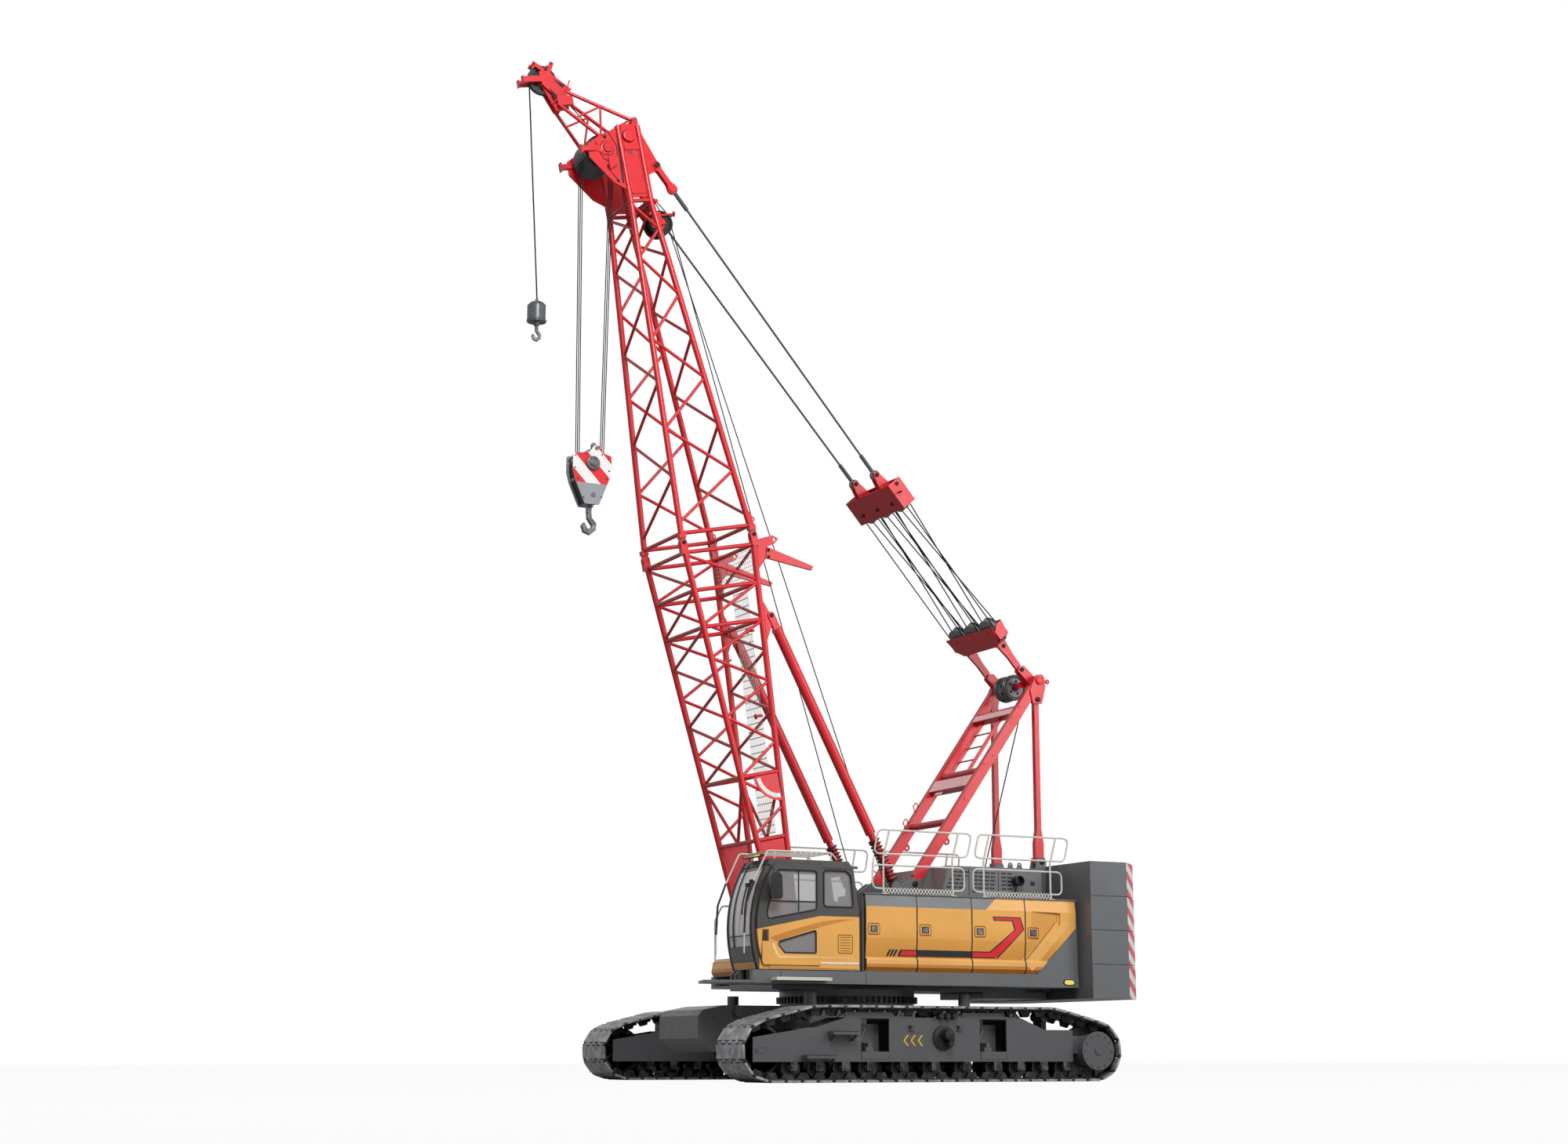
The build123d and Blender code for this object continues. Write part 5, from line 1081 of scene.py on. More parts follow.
class CRANE_OT_cab(bpy.types.Operator):
    """Adds the controls, gaskets, mouldings, painted shade and highlight plates, mirror, rails, wipers, lamps
    and roof guard of the cab
    """
    bl_idname = "crane.cab"
    bl_label = "Cab Fittings"

    def execute(self, context):
        self.door()
        self.shell()
        self.guards()
        self.interior()
        return {"FINISHED"}

    def interior(self):
        form = Form()
        form.box((2.26, 1.02, 1.74), (2.42, 1.50, 2.10))
        form.sweep([(2.10, 1.26, 1.75), (2.18, 1.26, 2.22)], 0.03, 10)
        form.ring((2.19, 1.26, 2.26), (0.5, 0, 1), 0.16, 0.014, 20, 6)
        form.box((1.45, 1.60, 1.75), (1.95, 1.66, 2.10))
        # The levers and knobs take the red lens finish and glow a little: a painted glow, as they are no
        # lamp.
        form.paint = 1
        for x in (1.80, 1.90):
            form.rod((x, 1.58, 2.00), (x - 0.02, 1.58, 2.24), 0.010, 8)
            form.turned([(0, 0.012), (0.02, 0.028), (0.05, 0.024)], (x - 0.02, 1.58, 2.22), (0, 0, 1), 12)
        make_piece("cab_controls", form, "superstructure", ("plastic", "red_lens"), 0.004)

    def door(self):
        y = DOOR_FACE
        window = [(1.480, 2.63), (1.480, 3.23), (2.155, 3.23), (2.345, 2.60), (2.34, 2.465)]
        wedge = [(1.495, 1.955), (1.495, 2.31), (2.13, 2.125), (2.152, 2.08), (2.045, 1.955)]
        form = Form()
        for outline, radius in ((window, 0.05), (wedge, 0.03)):
            line = rounded([(x, y, z) for x, z in outline], radius, 4, closed=True)
            form.sweep(line, 0.012, 6, closed=True)
        form.box((1.790, y - 0.012, 2.60), (1.806, y, 3.22))
        form.box((1.50, y - 0.012, 2.735), (2.30, y - 0.002, 2.755))
        make_piece("door_gaskets", form, "cab_door", ("rubber",))

        form = Form()
        # The crease-shaped plate is painted shade on the door's crease; the strips under the wedge are a
        # painted highlight on its lit edge.
        crease_shade = [(2.299, 2.181), (2.206, 2.135), (2.173, 2.122), (1.838, 2.240), (1.518, 2.335),
                  (1.425, 2.357),
                  (1.425, 2.437), (1.871, 2.318), (2.056, 2.266)]
        form.panel(crease_shade, y, 0.003)
        form.paint = 1
        form.panel(((2.322, 2.128), (2.430, 2.128), (2.430, 2.308), (2.322, 2.308)), y, 0.004)
        form.paint = 2
        form.box((2.354, y + 0.002, 2.150), (2.412, y + 0.022, 2.288))
        form.paint = 3
        form.panel(((2.265, 2.10), (2.255, 2.03), (2.205, 1.925), (2.170, 1.902), (2.120, 1.902),
                    (2.155, 1.935),
                    (2.190, 2.02), (2.215, 2.09)), y, 0.003)
        form.panel(((2.170, 1.902), (1.425, 1.902), (1.425, 1.884), (2.150, 1.872)), y, 0.003)
        make_piece("door_handle_and_painted_light", form, "cab_door",
                   ("crease_shade", "seam", "plastic", "light"))

    def shell(self):
        y = CAB_FACE
        form = Form()
        quarter = [(1.33, 2.68), (1.33, 3.25), (0.93, 3.25), (0.85, 3.18), (0.80, 2.68)]
        form.sweep(rounded([(x, y, z) for x, z in quarter], 0.06, 4, closed=True), 0.014, 6, closed=True)
        form.box((1.394, y - 0.004, 1.72), (1.414, y + 0.006, 3.36))
        make_piece("quarter_window_gasket", form, "superstructure", ("rubber",))

        form = Form()
        # The first plate is painted shade on the crease, the last strip a painted highlight on the lit edge
        # below the grille.
        form.panel(((1.39, 2.366), (1.39, 2.445), (1.063, 2.488), (0.783, 2.500), (1.081, 2.445)), y, 0.003)
        form.paint = 1
        grille = [(0.826, y, 1.967), (1.078, y, 1.967), (1.078, y, 2.247), (0.826, y, 2.247)]
        form.sweep(rounded(grille, 0.02, 3, closed=True), 0.007, 6, closed=True)
        for k in range(6):
            z = 2.000 + k * 0.042
            form.box((0.862, y, z), (1.045, y + 0.004, z + 0.008))
        form.paint = 2
        form.panel(((1.39, 1.884), (1.39, 1.902), (0.805, 1.897), (0.805, 1.892)), y, 0.003)
        make_piece("cab_grille_and_painted_light", form, "superstructure", ("crease_shade", "seam", "light"))

        form = Form()

        def screen(low, high, near, far, proud):
            heights = [low + (high - low) * k / 8 for k in range(9)]
            ring = [[(screen_x(z) + deep, y, z)
                     for deep, y in ((0, far), (0, near), (proud, near), (proud, far))]
                    for z in heights]
            form.skin(ring)

        screen(1.825, 2.050, 1.655, 0.895, 0.006)
        form.paint = 1
        screen(2.050, 3.345, 1.085, 1.050, 0.010)
        screen(1.700, 3.380, 1.700, 1.650, 0.008)
        screen(1.700, 3.380, 0.890, 0.850, 0.008)
        screen(2.205, 2.220, 1.655, 0.895, 0.008)
        rebate = [[(screen_x(z) + deep, y, z)
                   for deep, y in ((-0.26, 1.690), (-0.26, 1.716), (-0.03, 1.716), (-0.03, 1.690))]
                  for z in [1.76 + 0.15 * k for k in range(11)]]
        form.skin(rebate)
        make_piece("windscreen_bands", form, "superstructure", ("print", "rubber"))

        form = Form()
        form.box((0.712, y, 1.795), (1.40, y + 0.012, 1.822))
        make_piece("cab_sill_strip", form, "superstructure", ("white",), 0.003)

    def guards(self):
        bar = 0.014
        rails = Form()
        grips = Form()
        for y, shift in ((1.64, 0.0), (0.84, 0.10)):
            foot, grip, top = (2.68 + shift, y, 1.94), (2.68 + shift, y, 2.25), (2.515 + shift, y, 3.05)
            rails.sweep([foot, grip], bar * 0.8, 8)
            grips.sweep([grip, (2.655 + shift, y, 2.70), top], bar * 1.25, 8)
            over = [top, (2.28 + shift, y, ROOF_BAR_Z), (1.15, y, ROOF_BAR_Z), (1.06, y, 3.43)]
            rails.sweep(rounded(over, 0.07, 5), bar, 8)
            for x in (2.16, 1.16):
                rails.sweep([(x, y, 3.40), (x, y, ROOF_BAR_Z)], bar * 0.8, 8)
        for x in (2.20, 1.16):
            rails.sweep([(x, 0.84, ROOF_BAR_Z), (x, 1.64, ROOF_BAR_Z)], bar * 0.8, 8)
        for k in range(11):
            x = 1.22 + k * 0.095
            rails.sweep([(x, 0.86, 3.522), (x, 1.62, 3.522)], 0.005, 5)
        for k in range(7):
            y = 0.94 + k * 0.10
            rails.sweep([(1.17, y, 3.512), (2.19, y, 3.512)], 0.005, 5)
        make_piece("cab_roof_guard", rails, "superstructure", ("rails",))
        make_piece("windscreen_grips", grips, "superstructure", ("rubber",))

        form = Form()
        form.sweep(rounded([(1.62, -1.64, 1.93), (1.63, -1.64, 2.62), (1.50, -1.64, 2.87),
                            (0.64, -1.64, 2.90)], 0.08, 4),
                   bar, 8)
        make_piece("right_access_rail", form, "superstructure", ("rails",))

        form = Form()
        form.box((2.30, 0.95, 3.44), (2.38, 1.60, 3.475))
        for k in range(3):
            form.paint = k + 1
            form.box((2.382, 1.02 + k * 0.19, 3.445), (2.392, 1.19 + k * 0.19, 3.470))
        make_piece("load_lamp_bar", form, "superstructure",
                   ("plastic", "red_lens", "green_lens", "yellow"), 0.002)

        form = Form()
        arm = rounded([(2.40, 1.76, 3.30), (2.40, 1.95, 3.28), (2.34, 2.00, 3.20)], 0.05, 4)
        form.sweep(arm, 0.012, 8)
        form.paint = 1
        form.panel(((2.22, 2.76), (2.39, 2.76), (2.40, 2.80), (2.40, 3.12), (2.37, 3.165), (2.24, 3.165),
                    (2.20, 3.12), (2.19, 2.80)), 1.93, 0.07)
        make_piece("cab_mirror", form, "superstructure", ("rubber", "mirror_back"), 0.012)

        form = Form()
        for y, low, high in ((1.50, 2.53, 3.05), (1.40, 2.54, 3.00)):
            lean = [(screen_x(low + (high - low) * k / 6) + 0.030, y - 0.02 * k / 6,
                     low + (high - low) * k / 6)
                    for k in range(7)]
            form.sweep(lean, 0.013, 6)
            form.box((screen_x(high) + 0.004, y - 0.05, high - 0.03),
                     (screen_x(high) + 0.05, y + 0.03, high + 0.03))
        make_piece("windscreen_wipers", form, "superstructure", ("rubber",))


# ---------------------------------------------------------------- tracks
TRACK_Y = 2.635
SHOE_HALF = 0.455
TRACK_SHOES = 54
WHEEL = (2.885, 0.470, 0.435)
CARRIER = (2.105, 0.990, 0.115)
BASE_X = 0.070
FRAME_WINDOWS = (1.115, -0.975)
DRIVE = (-2.815, 0.470)
ROLLERS = (2.490, 2.056, 1.622, 1.188, 0.628, 0.068, -0.492, -1.052, -1.477, -1.902, -2.327)


def tangent(near, far):
    """Direction, in radians, in which the upper tangent of two circles (x, z, radius) touches the first."""
    across_x, rise = far[0] - near[0], far[1] - near[1]
    return atan2(rise, across_x) + pi / 2 + asin((far[2] - near[2]) / hypot(across_x, rise))


def hinge_line():
    """Track hinges as x and z, at equal steps from under the idler up round the front."""
    touch = tangent(CARRIER, WHEEL)
    front = [((WHEEL, -pi / 2, touch, 40), 1), ((CARRIER, touch, pi / 2, 4), 1)]
    rear = [((CARRIER, pi / 2, pi - touch, 4), -1), ((WHEEL, pi - touch, 3 * pi / 2, 40), -1)]
    path = [Vector((BASE_X + side * x + radius * cos(start + (end - start) * k / steps),
                    z + radius * sin(start + (end - start) * k / steps)))
            for ((x, z, radius), start, end, steps), side in front + rear for k in range(steps + 1)]
    path.append(path[0])
    pitch = sum((b - a).length for a, b in zip(path, path[1:])) / TRACK_SHOES
    hinges, travelled = [], 0.0
    for a, b in zip(path, path[1:]):
        length = (b - a).length
        while length and len(hinges) < TRACK_SHOES and len(hinges) * pitch < travelled + length:
            hinges.append(a.lerp(b, (len(hinges) * pitch - travelled) / length))
        travelled += length
    return hinges


class CRANE_OT_tracks(bpy.types.Operator):
    """Builds both tracks shoe by shoe"""
    bl_idname = "crane.tracks"
    bl_label = "Tracks"

    def execute(self, context):
        hinges = hinge_line()
        for name, side in (("left", 1), ("right", -1)):
            form = Form()
            for a, b in zip(hinges, hinges[1:] + hinges[:1]):
                self.shoe(form, a, b, side * TRACK_Y)
            piece = make_piece(f"track_shoes_{name}", form, "undercarriage", ("tracks", "links"),
                               0.005, segments=1)
            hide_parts(f"track_{name}")
        return {"FINISHED"}

    def shoe(self, form, a, b, middle):
        """Pad with interlocking fingers, link, hinge pin and two guide horns."""
        lead = b - a
        out = Vector((lead.y, -lead.x)).normalized()

        def block(low, high, y_low, y_high, taper=0.0):
            (t0, n0), (t1, n1) = low, high
            corners = ((t0, n0), (t1, n0), (t1 - taper, n1), (t0 + taper, n1))
            points = [a + lead * t + out * n for t, n in corners]
            form.plate([(p.x, middle + y_low, p.y) for p in points], (0, y_high - y_low, 0))

        form.paint = 0
        block((0.10, -0.004), (0.90, 0.034), -SHOE_HALF, SHOE_HALF)
        # The dark link sheet under the pad shows in the gaps between shoes as painted shade.
        form.paint = 1
        block((0.03, -0.024), (0.97, -0.003), -0.36, 0.36)
        form.paint = 0
        for place in (-0.345, -0.115, 0.115, 0.345):
            block((0.86, -0.004), (1.07, 0.026), place - 0.052, place + 0.052)
        for place in (-0.23, 0.0, 0.23):
            block((-0.07, -0.004), (0.14, 0.026), place - 0.045, place + 0.045)
        form.paint = 1
        for place in (-0.432, 0.432):
            block((-0.11, -0.022), (0.11, 0.020), place - 0.022, place + 0.022)
        for place in (-0.225, 0.225):
            block((0.26, -0.115), (0.74, -0.020), place - 0.020, place + 0.020, -0.16)
        pin = Vector((a.x, middle - 0.46, a.y))
        form.rod(pin, pin + Vector((0, 0.92, 0)), 0.016, 8)


# ---------------------------------------------------------------- undercarriage
class CRANE_OT_undercarriage(bpy.types.Operator):
    """Adds drive covers, roller rims, chevrons, steps, connectors and skids to the undercarriage"""
    bl_idname = "crane.undercarriage"
    bl_label = "Undercarriage Fittings"

    def execute(self, context):
        form = Form()
        for side in (1, -1):
            x, z = DRIVE
            y = side * 3.10
            form.turned([(0, 0.30), (0.012, 0.30)], (x, y, z), SIDE * side, 36)
            y += side * 0.012
            for turn in turns_of(12):
                form.bolt((x + 0.25 * cos(turn), y, z + 0.25 * sin(turn)), SIDE * side, 0.04)
            form.turned([(0, 0.07), (0.02, 0.06)], (x, y, z), SIDE * side, 20)
        make_piece("final_drive_covers", form, "undercarriage", ("chassis",), 0.003)

        form = Form()
        for side in (1, -1):
            for x in ROLLERS:
                y = side * (TRACK_Y + 0.200)
                form.turned([(0, 0.158), (0.006, 0.158), (0.010, 0.150), (0.010, 0.128), (0.002, 0.120)],
                            (x, y, 0.225), SIDE * side, 28)
                form.turned([(0.002, 0.072), (0.050, 0.070), (0.058, 0.050)], (x, y, 0.225), SIDE * side, 20)
            form.turned([(0, 0.384), (0.006, 0.384), (0.010, 0.372), (0.010, 0.340), (0, 0.330)],
                        (BASE_X + WHEEL[0], side * (TRACK_Y + 0.095), WHEEL[1]), SIDE * side, 40)
        make_piece("roller_rims", form, "undercarriage", ("ring",), 0.003)

        form = Form()
        for side in (1, -1):
            for k in range(3):
                x = 0.630 - k * 0.125
                y = side * 2.951
                for z in (0.701, 0.538):
                    form.plate([(x, y, 0.620), (x - 0.028, y, 0.620), (x - 0.098, y, z), (x - 0.070, y, z)],
                               (0, side * 0.003, 0))
        make_piece("travel_chevrons", form, "undercarriage", ("chevron",))

        form = Form()
        for side in (1, -1):
            y = side * FRAME_FACE
            for front, rear, z in ((1.93, 1.47, 0.72), (2.37, 1.85, 0.37)):
                form.slab((rear, front), (y, y + side * 0.20), (z - 0.02, z + 0.02))
                for k in range(7):
                    x = rear + 0.03 + k * (front - rear - 0.06) / 6
                    form.slab((x - 0.008, x + 0.008), (y, y + side * 0.20), (z + 0.02, z + 0.035))
                for x in (rear + 0.05, front - 0.05):
                    form.beam((x, y, z - 0.10), (x, y + side * 0.17, z - 0.02), 0.02, 0.04)
        make_piece("frame_steps", form, "undercarriage", ("chassis",), 0.002)

        form = Form()
        for side in (1, -1):
            y = side * FRAME_FACE
            form.turned([(0, 0.19), (0.03, 0.19), (0.035, 0.16), (0.05, 0.14)], (-0.08, y, 0.66),
                        (0, side, 0), 28)
            form.turned([(0.05, 0.08), (0.20, 0.08), (0.21, 0.06)], (-0.08, y, 0.70), (0, side, 0), 20)
            form.turned([(0.05, 0.05), (0.16, 0.05)], (-0.13, y, 0.58), (0, side, 0), 16)
            for dx in (-0.12, 0.0, 0.12):
                form.turned([(0, 0.05), (0.10, 0.045)], (-0.12 + dx, y, 0.985), (0, side, 0), 16)
        make_piece("hose_connectors", form, "undercarriage", ("rubber",), 0.004)

        form = Form()
        for side in (1, -1):
            y = side * FRAME_FACE
            inner, outer = sorted((side * 2.885, side * 2.948))
            for front, rear in ((1.75, 0.55), (-0.30, -1.40)):
                skid = ((front, 0.955), (front - 0.12, 1.04), (rear + 0.28, 1.04), (rear + 0.22, 0.985),
                        (rear, 0.985), (rear, 0.955))
                form.panel(skid, inner, outer - inner)
                for x in (front - 0.14, rear + 0.10):
                    form.turned([(0, 0.032), (0.02, 0.030)], (x, side * 2.948, 1.012), (0, side, 0), 16)
            for x in (0.49, -0.36):
                for z in (0.775, 0.835):
                    form.slab((x - 0.045, x + 0.045), (y, side * 3.0), (z, z + 0.014))
                form.slab((x - 0.012, x + 0.012), (y, side * 2.99), (0.775, 0.849))
            for middle in FRAME_WINDOWS:
                form.slab((middle - 0.232, middle + 0.232), (side * 2.949, side * 2.957), (0.337, 0.447))
                form.slab((middle + 0.02, middle + 0.15), (side * 2.72, side * 2.93), (0.456, 0.52))
                form.slab((middle + 0.05, middle + 0.11), (side * 2.72, side * 2.93), (0.52, 0.585))
                form.beam((middle + 0.22, side * 2.80, 0.50), (middle + 0.10, side * 2.80, 0.80), 0.03, 0.03)
            slot = [(x, side * 2.952, z)
                    for x, z in ((3.13, 0.515), (2.94, 0.515), (2.94, 0.435), (3.13, 0.435))]
            form.sweep(rounded(slot, 0.038, 5, closed=True), 0.007, 6, closed=True)
            form.turned([(0, 0.024), (0.012, 0.022)], (3.095, y, 0.475), (0, side, 0), 14)
            form.turned([(0, 0.086), (0.05, 0.086), (0.055, 0.080)], (2.335, side * 0.74, 1.072),
                        (0, side, 0), 28)
        make_piece("frame_fittings", form, "undercarriage", ("chassis",), 0.003)

        form = Form()
        for side in (1, -1):
            form.slab((2.752, 2.762), (side * CHASSIS_FACE, side * 0.742), (0.955, 1.022))
            for middle in FRAME_WINDOWS:
                for x in (middle - 0.238, middle + 0.238):
                    form.slab((x - 0.003, x + 0.003), (side * 2.948, side * 2.9515), (0.333, 0.456))
        make_piece("frame_seams", form, "undercarriage", ("marking",))
        return {"FINISHED"}


# ---------------------------------------------------------------- boom
BOOM_X = Vector((-sin(BOOM_ANGLE), 0, cos(BOOM_ANGLE)))
BOOM_Z = Vector((cos(BOOM_ANGLE), 0, sin(BOOM_ANGLE)))

# Outlines on the boom head, each corner as station and offset; the holes and the head's dark plates get black
# sheets as painted shade, its lines a dark red painted shadow.
TIP_PLATE = ((15.074, -1.376), (15.085, -1.232), (14.752, -0.839), (14.550, -1.077), (14.841, -1.349))
TIP_HOLES = (((14.933, -1.139), (14.823, -0.947), (14.771, -1.011)),
             ((14.790, -1.249), (14.625, -1.103), (14.576, -1.176)))
HEAD_SHADOW_LINES = (((14.01, -0.300), (13.00, -0.330)), ((13.545, -0.235), (13.545, -0.010)),
              ((13.72, -0.76), (13.42, -0.66), (13.30, -0.45)),
              ((13.90, -0.50), (13.62, -0.38), (13.45, -0.40)),
              ((13.27, -0.62), (13.00, -0.44)))
HEAD_SHADOW_PLATES = (((13.287, -0.629), (13.357, -0.548), (13.314, -0.461), (13.227, -0.565)),
              ((13.983, -0.341), (13.982, -0.307), (12.985, -0.362), (12.987, -0.396)),
              ((13.585, -0.353), (13.570, -0.196), (13.556, -0.198), (13.569, -0.357)),
              ((13.999, -0.268), (14.005, -0.111), (13.991, -0.113), (13.985, -0.271)))


def boom_outline(points, y):
    """Outline in the plane of the boom's side, its corners given as station and offset."""
    return [on_boom(station, offset, y) for station, offset in points]


def chord(station):
    """Half depth and half width of the base section between its chords."""
    share = station / 6.84
    return 0.123 + 0.519 * share, 0.667 + 0.083 * share


class CRANE_OT_boom(bpy.types.Operator):
    """Adds pin caps, rope guards, walkway net and fittings to the boom"""
    bl_idname = "crane.boom"
    bl_label = "Boom Fittings"

    def execute(self, context):
        self.caps()
        self.head()
        self.tip()
        self.net()
        self.base()
        return {"FINISHED"}

    def caps(self):
        form = Form()
        for side in (1, -1):
            axis = SIDE * side
            for offset in (0.642, -0.642):
                form.turned([(0, 0.032), (0.020, 0.032), (0.026, 0.024)],
                            on_boom(6.84, offset, side * 0.816), axis, 6)
            for station, offset, y, radius in (
                    (5.476, 0.705, 0.776, 0.034), (6.55, 0.865, 0.780, 0.026), (6.44, 0.845, 0.780, 0.022),
                    (13.267, 0.271, 0.520, 0.046), (13.031, -0.467, 0.472, 0.022),
                    (13.79, -0.570, 0.485, 0.024)):
                form.turned([(0, radius), (0.016, radius), (0.022, radius * 0.75)],
                            on_boom(station, offset, side * y),
                            axis, 16)
        make_piece("boom_pin_caps", form, "boom", ("black",), 0.002)

        form = Form()
        for side in (1, -1):
            for station, offset in ((14.08, 0.04), (13.82, -0.57), (13.50, -0.10)):
                form.ring(on_boom(station, offset, side * 0.50), SIDE, 0.032, 0.004, 16, 6)
                form.rod(on_boom(station, offset, side * 0.50),
                         on_boom(station + 0.02, offset - 0.09, side * 0.50), 0.004, 6)
        make_piece("pin_clips", form, "boom", ("chrome",))

    def head(self):
        form = Form()
        for side in (1, -1):
            y = side * 0.455
            form.beam(on_boom(13.60, -0.78, y), on_boom(13.595, -1.02, y), 0.10, 0.085, BOOM_Z)
            form.beam(on_boom(13.595, -1.015, y), on_boom(13.595, -1.035, y), 0.12, 0.15, BOOM_Z)
            form.turned([(0, 0.115), (0.018, 0.115), (0.022, 0.105), (0.022, 0.075), (0.046, 0.072)],
                        on_boom(*HEAD_AXLE, side * 0.472), SIDE * side, 32)
            for along in (-0.03, 0.03):
                form.turned([(0, 0.014), (0.012, 0.012)],
                            on_boom(HEAD_AXLE[0], HEAD_AXLE[1] + along, side * 0.518), SIDE * side, 10)
            form.plate(boom_outline(((13.66, -0.70), (13.63, -0.80), (13.58, -0.80), (13.47, -0.61),
                                     (13.50, -0.56)),
                                    side * 0.470), SIDE * side * 0.016)
            form.plate(boom_outline(((13.44, -0.58), (13.42, -0.46), (13.30, -0.44), (13.22, -0.59)),
                                    side * 0.470),
                       SIDE * side * 0.05)
            form.plate(boom_outline(((13.56, -0.24), (14.00, -0.24), (14.00, 0.01), (13.56, 0.03)),
                                    side * 0.468),
                       SIDE * side * 0.014)
            rim = boom_outline(((12.80, -0.245), (13.54, -0.245), (13.54, 0.005), (12.80, 0.02)),
                               side * 0.474)
            form.sweep(rounded(rim, 0.03, 3, closed=True), 0.010, 6, closed=True)
            form.turned([(0, 0.10), (0.020, 0.10), (0.024, 0.088), (0.024, 0.060)],
                        on_boom(*JIB_BORE, side * 0.499), SIDE * side, 32)
            form.beam(on_boom(12.50, 0.30, side * 0.15), on_boom(12.515, 0.62, side * 0.15), 0.04, 0.03,
                      BOOM_Z)
            form.beam(on_boom(12.515, 0.60, side * 0.15), on_boom(12.515, 0.615, side * 0.15), 0.06, 0.09,
                      BOOM_Z)
            form.plate(boom_outline(((12.62, 0.20), (12.56, 0.36), (12.30, 0.40), (12.24, 0.33),
                                     (12.30, 0.16)),
                                    side * 0.145), SIDE * side * 0.012)
            form.turned([(0, 0.06), (0.03, 0.055)], on_boom(*DEFLECTOR, side * 0.157), SIDE * side, 20)
        form.rod(on_boom(12.515, 0.61, -0.19), on_boom(12.515, 0.61, 0.19), 0.016, 10)
        make_piece("head_fittings", form, "boom", ("boom",), 0.003)

        form = Form()
        for side in (1, -1):
            form.turned([(0, 0.062), (0.004, 0.062)], on_boom(*JIB_BORE, side * 0.516), SIDE * side, 24)
        make_piece("jib_bore_shade", form, "boom", ("black",))

    def tip(self):
        form = Form()
        for side in (1, -1):
            y = side * 0.105
            form.beam(on_boom(14.945, -1.36, y), on_boom(14.940, -1.68, y), 0.07, 0.10, BOOM_Z)
            form.beam(on_boom(14.940, -1.675, y), on_boom(14.940, -1.69, y), 0.09, 0.13, BOOM_Z)
            form.beam(on_boom(15.10, -1.27, side * 0.08), on_boom(15.24, -1.45, side * 0.08), 0.035, 0.07,
                      BOOM_Z)
            form.beam(on_boom(15.04, -1.20, side * 0.08), on_boom(15.24, -1.10, side * 0.08), 0.035, 0.07,
                      BOOM_X)
            form.turned([(0, 0.08), (0.02, 0.08), (0.028, 0.05)], on_boom(*TIP_AXLE, side * 0.075),
                        SIDE * side, 24)
            form.plate(boom_outline(TIP_PLATE, side * 0.118), SIDE * side * 0.010)
        hoop = boom_outline(((14.90, -0.86), (14.76, -0.93), (14.61, -1.09), (14.50, -1.27)), 0.142)
        form.sweep(hoop, 0.012, 8)
        for station, offset in ((15.22, -1.43), (15.22, -1.11)):
            form.rod(on_boom(station, offset, -0.13), on_boom(station, offset, 0.13), 0.013, 8)
        make_piece("tip_fittings", form, "boom", ("boom",), 0.003)

        form = Form()
        for side in (1, -1):
            # Black sheets in the tip plate's cut-outs and along the head's gaps are painted shade.
            for outline in TIP_HOLES:
                form.plate(boom_outline(outline, side * 0.1285), SIDE * side * 0.001)
            for outline in HEAD_SHADOW_PLATES:
                form.plate(boom_outline(outline, side * 0.4725), SIDE * side * 0.002)
            # Dark red rings round the bosses and lines along the plate edges are painted shadow.
            form.paint = 1
            for axle, y, radius in ((HEAD_AXLE, 0.474, 0.120), (HEAD_AXLE, 0.496, 0.078),
                                    (JIB_BORE, 0.500, 0.106)):
                form.ring(on_boom(*axle, side * y), SIDE, radius, 0.006, 28, 5)
            for line in HEAD_SHADOW_LINES:
                form.sweep(boom_outline(line, side * 0.474), 0.007, 5)
            form.paint = 0
        make_piece("head_painted_shadows", form, "boom", ("black", "shadow"))

        # The light grey rings on the flange edges of the black sheaves are a painted highlight.
        form = Form()
        for index in range(7):
            y = (index - 3) * 0.078
            for edge in (-0.032, 0.032):
                form.ring((HEAD.x, y + edge, HEAD.z), SIDE, 0.2965, 0.0065, 40, 5)
        make_piece("head_sheave_rims", form, "head_sheaves", ("rim",))

        # The outer rings are a painted highlight on the flange edges.
        form = Form()
        for side in (1, -1):
            form.ring((TIP.x, side * 0.038, TIP.z), SIDE, 0.2485, 0.004, 40, 5)
            form.ring((TIP.x, side * 0.036, TIP.z), SIDE, 0.205, 0.006, 32, 5)
            form.ring((TIP.x, side * 0.030, TIP.z), SIDE, 0.110, 0.006, 24, 5)
        make_piece("tip_sheave_rims", form, "tip_sheave", ("rim",))

    def net(self):
        """White wire net over the rear face, narrow on the walkway and full width near the joint."""
        form = Form()

        def bar(near, far, size):
            ends = [on_boom(station, chord(station)[0] - 0.020, y) for station, y in (near, far)]
            form.beam(*ends, size, 0.004, BOOM_X)

        for low, high, left, right, columns, rows in ((2.0, 5.98, 0.37, -0.17, 12, 33),
                                                      (6.08, 6.62, 0.66, -0.62, 18, 8)):
            for k in range(columns + 1):
                y = right + (left - right) * k / columns
                bar((low, y), (high, y), 0.007)
            for k in range(rows + 1):
                station = low + (high - low) * k / rows
                bar((station, right), (station, left), 0.016 if columns == 12 else 0.007)
        piece = make_piece("walkway_net", form, "boom", ("rails",))
        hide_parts("boom_walkway")

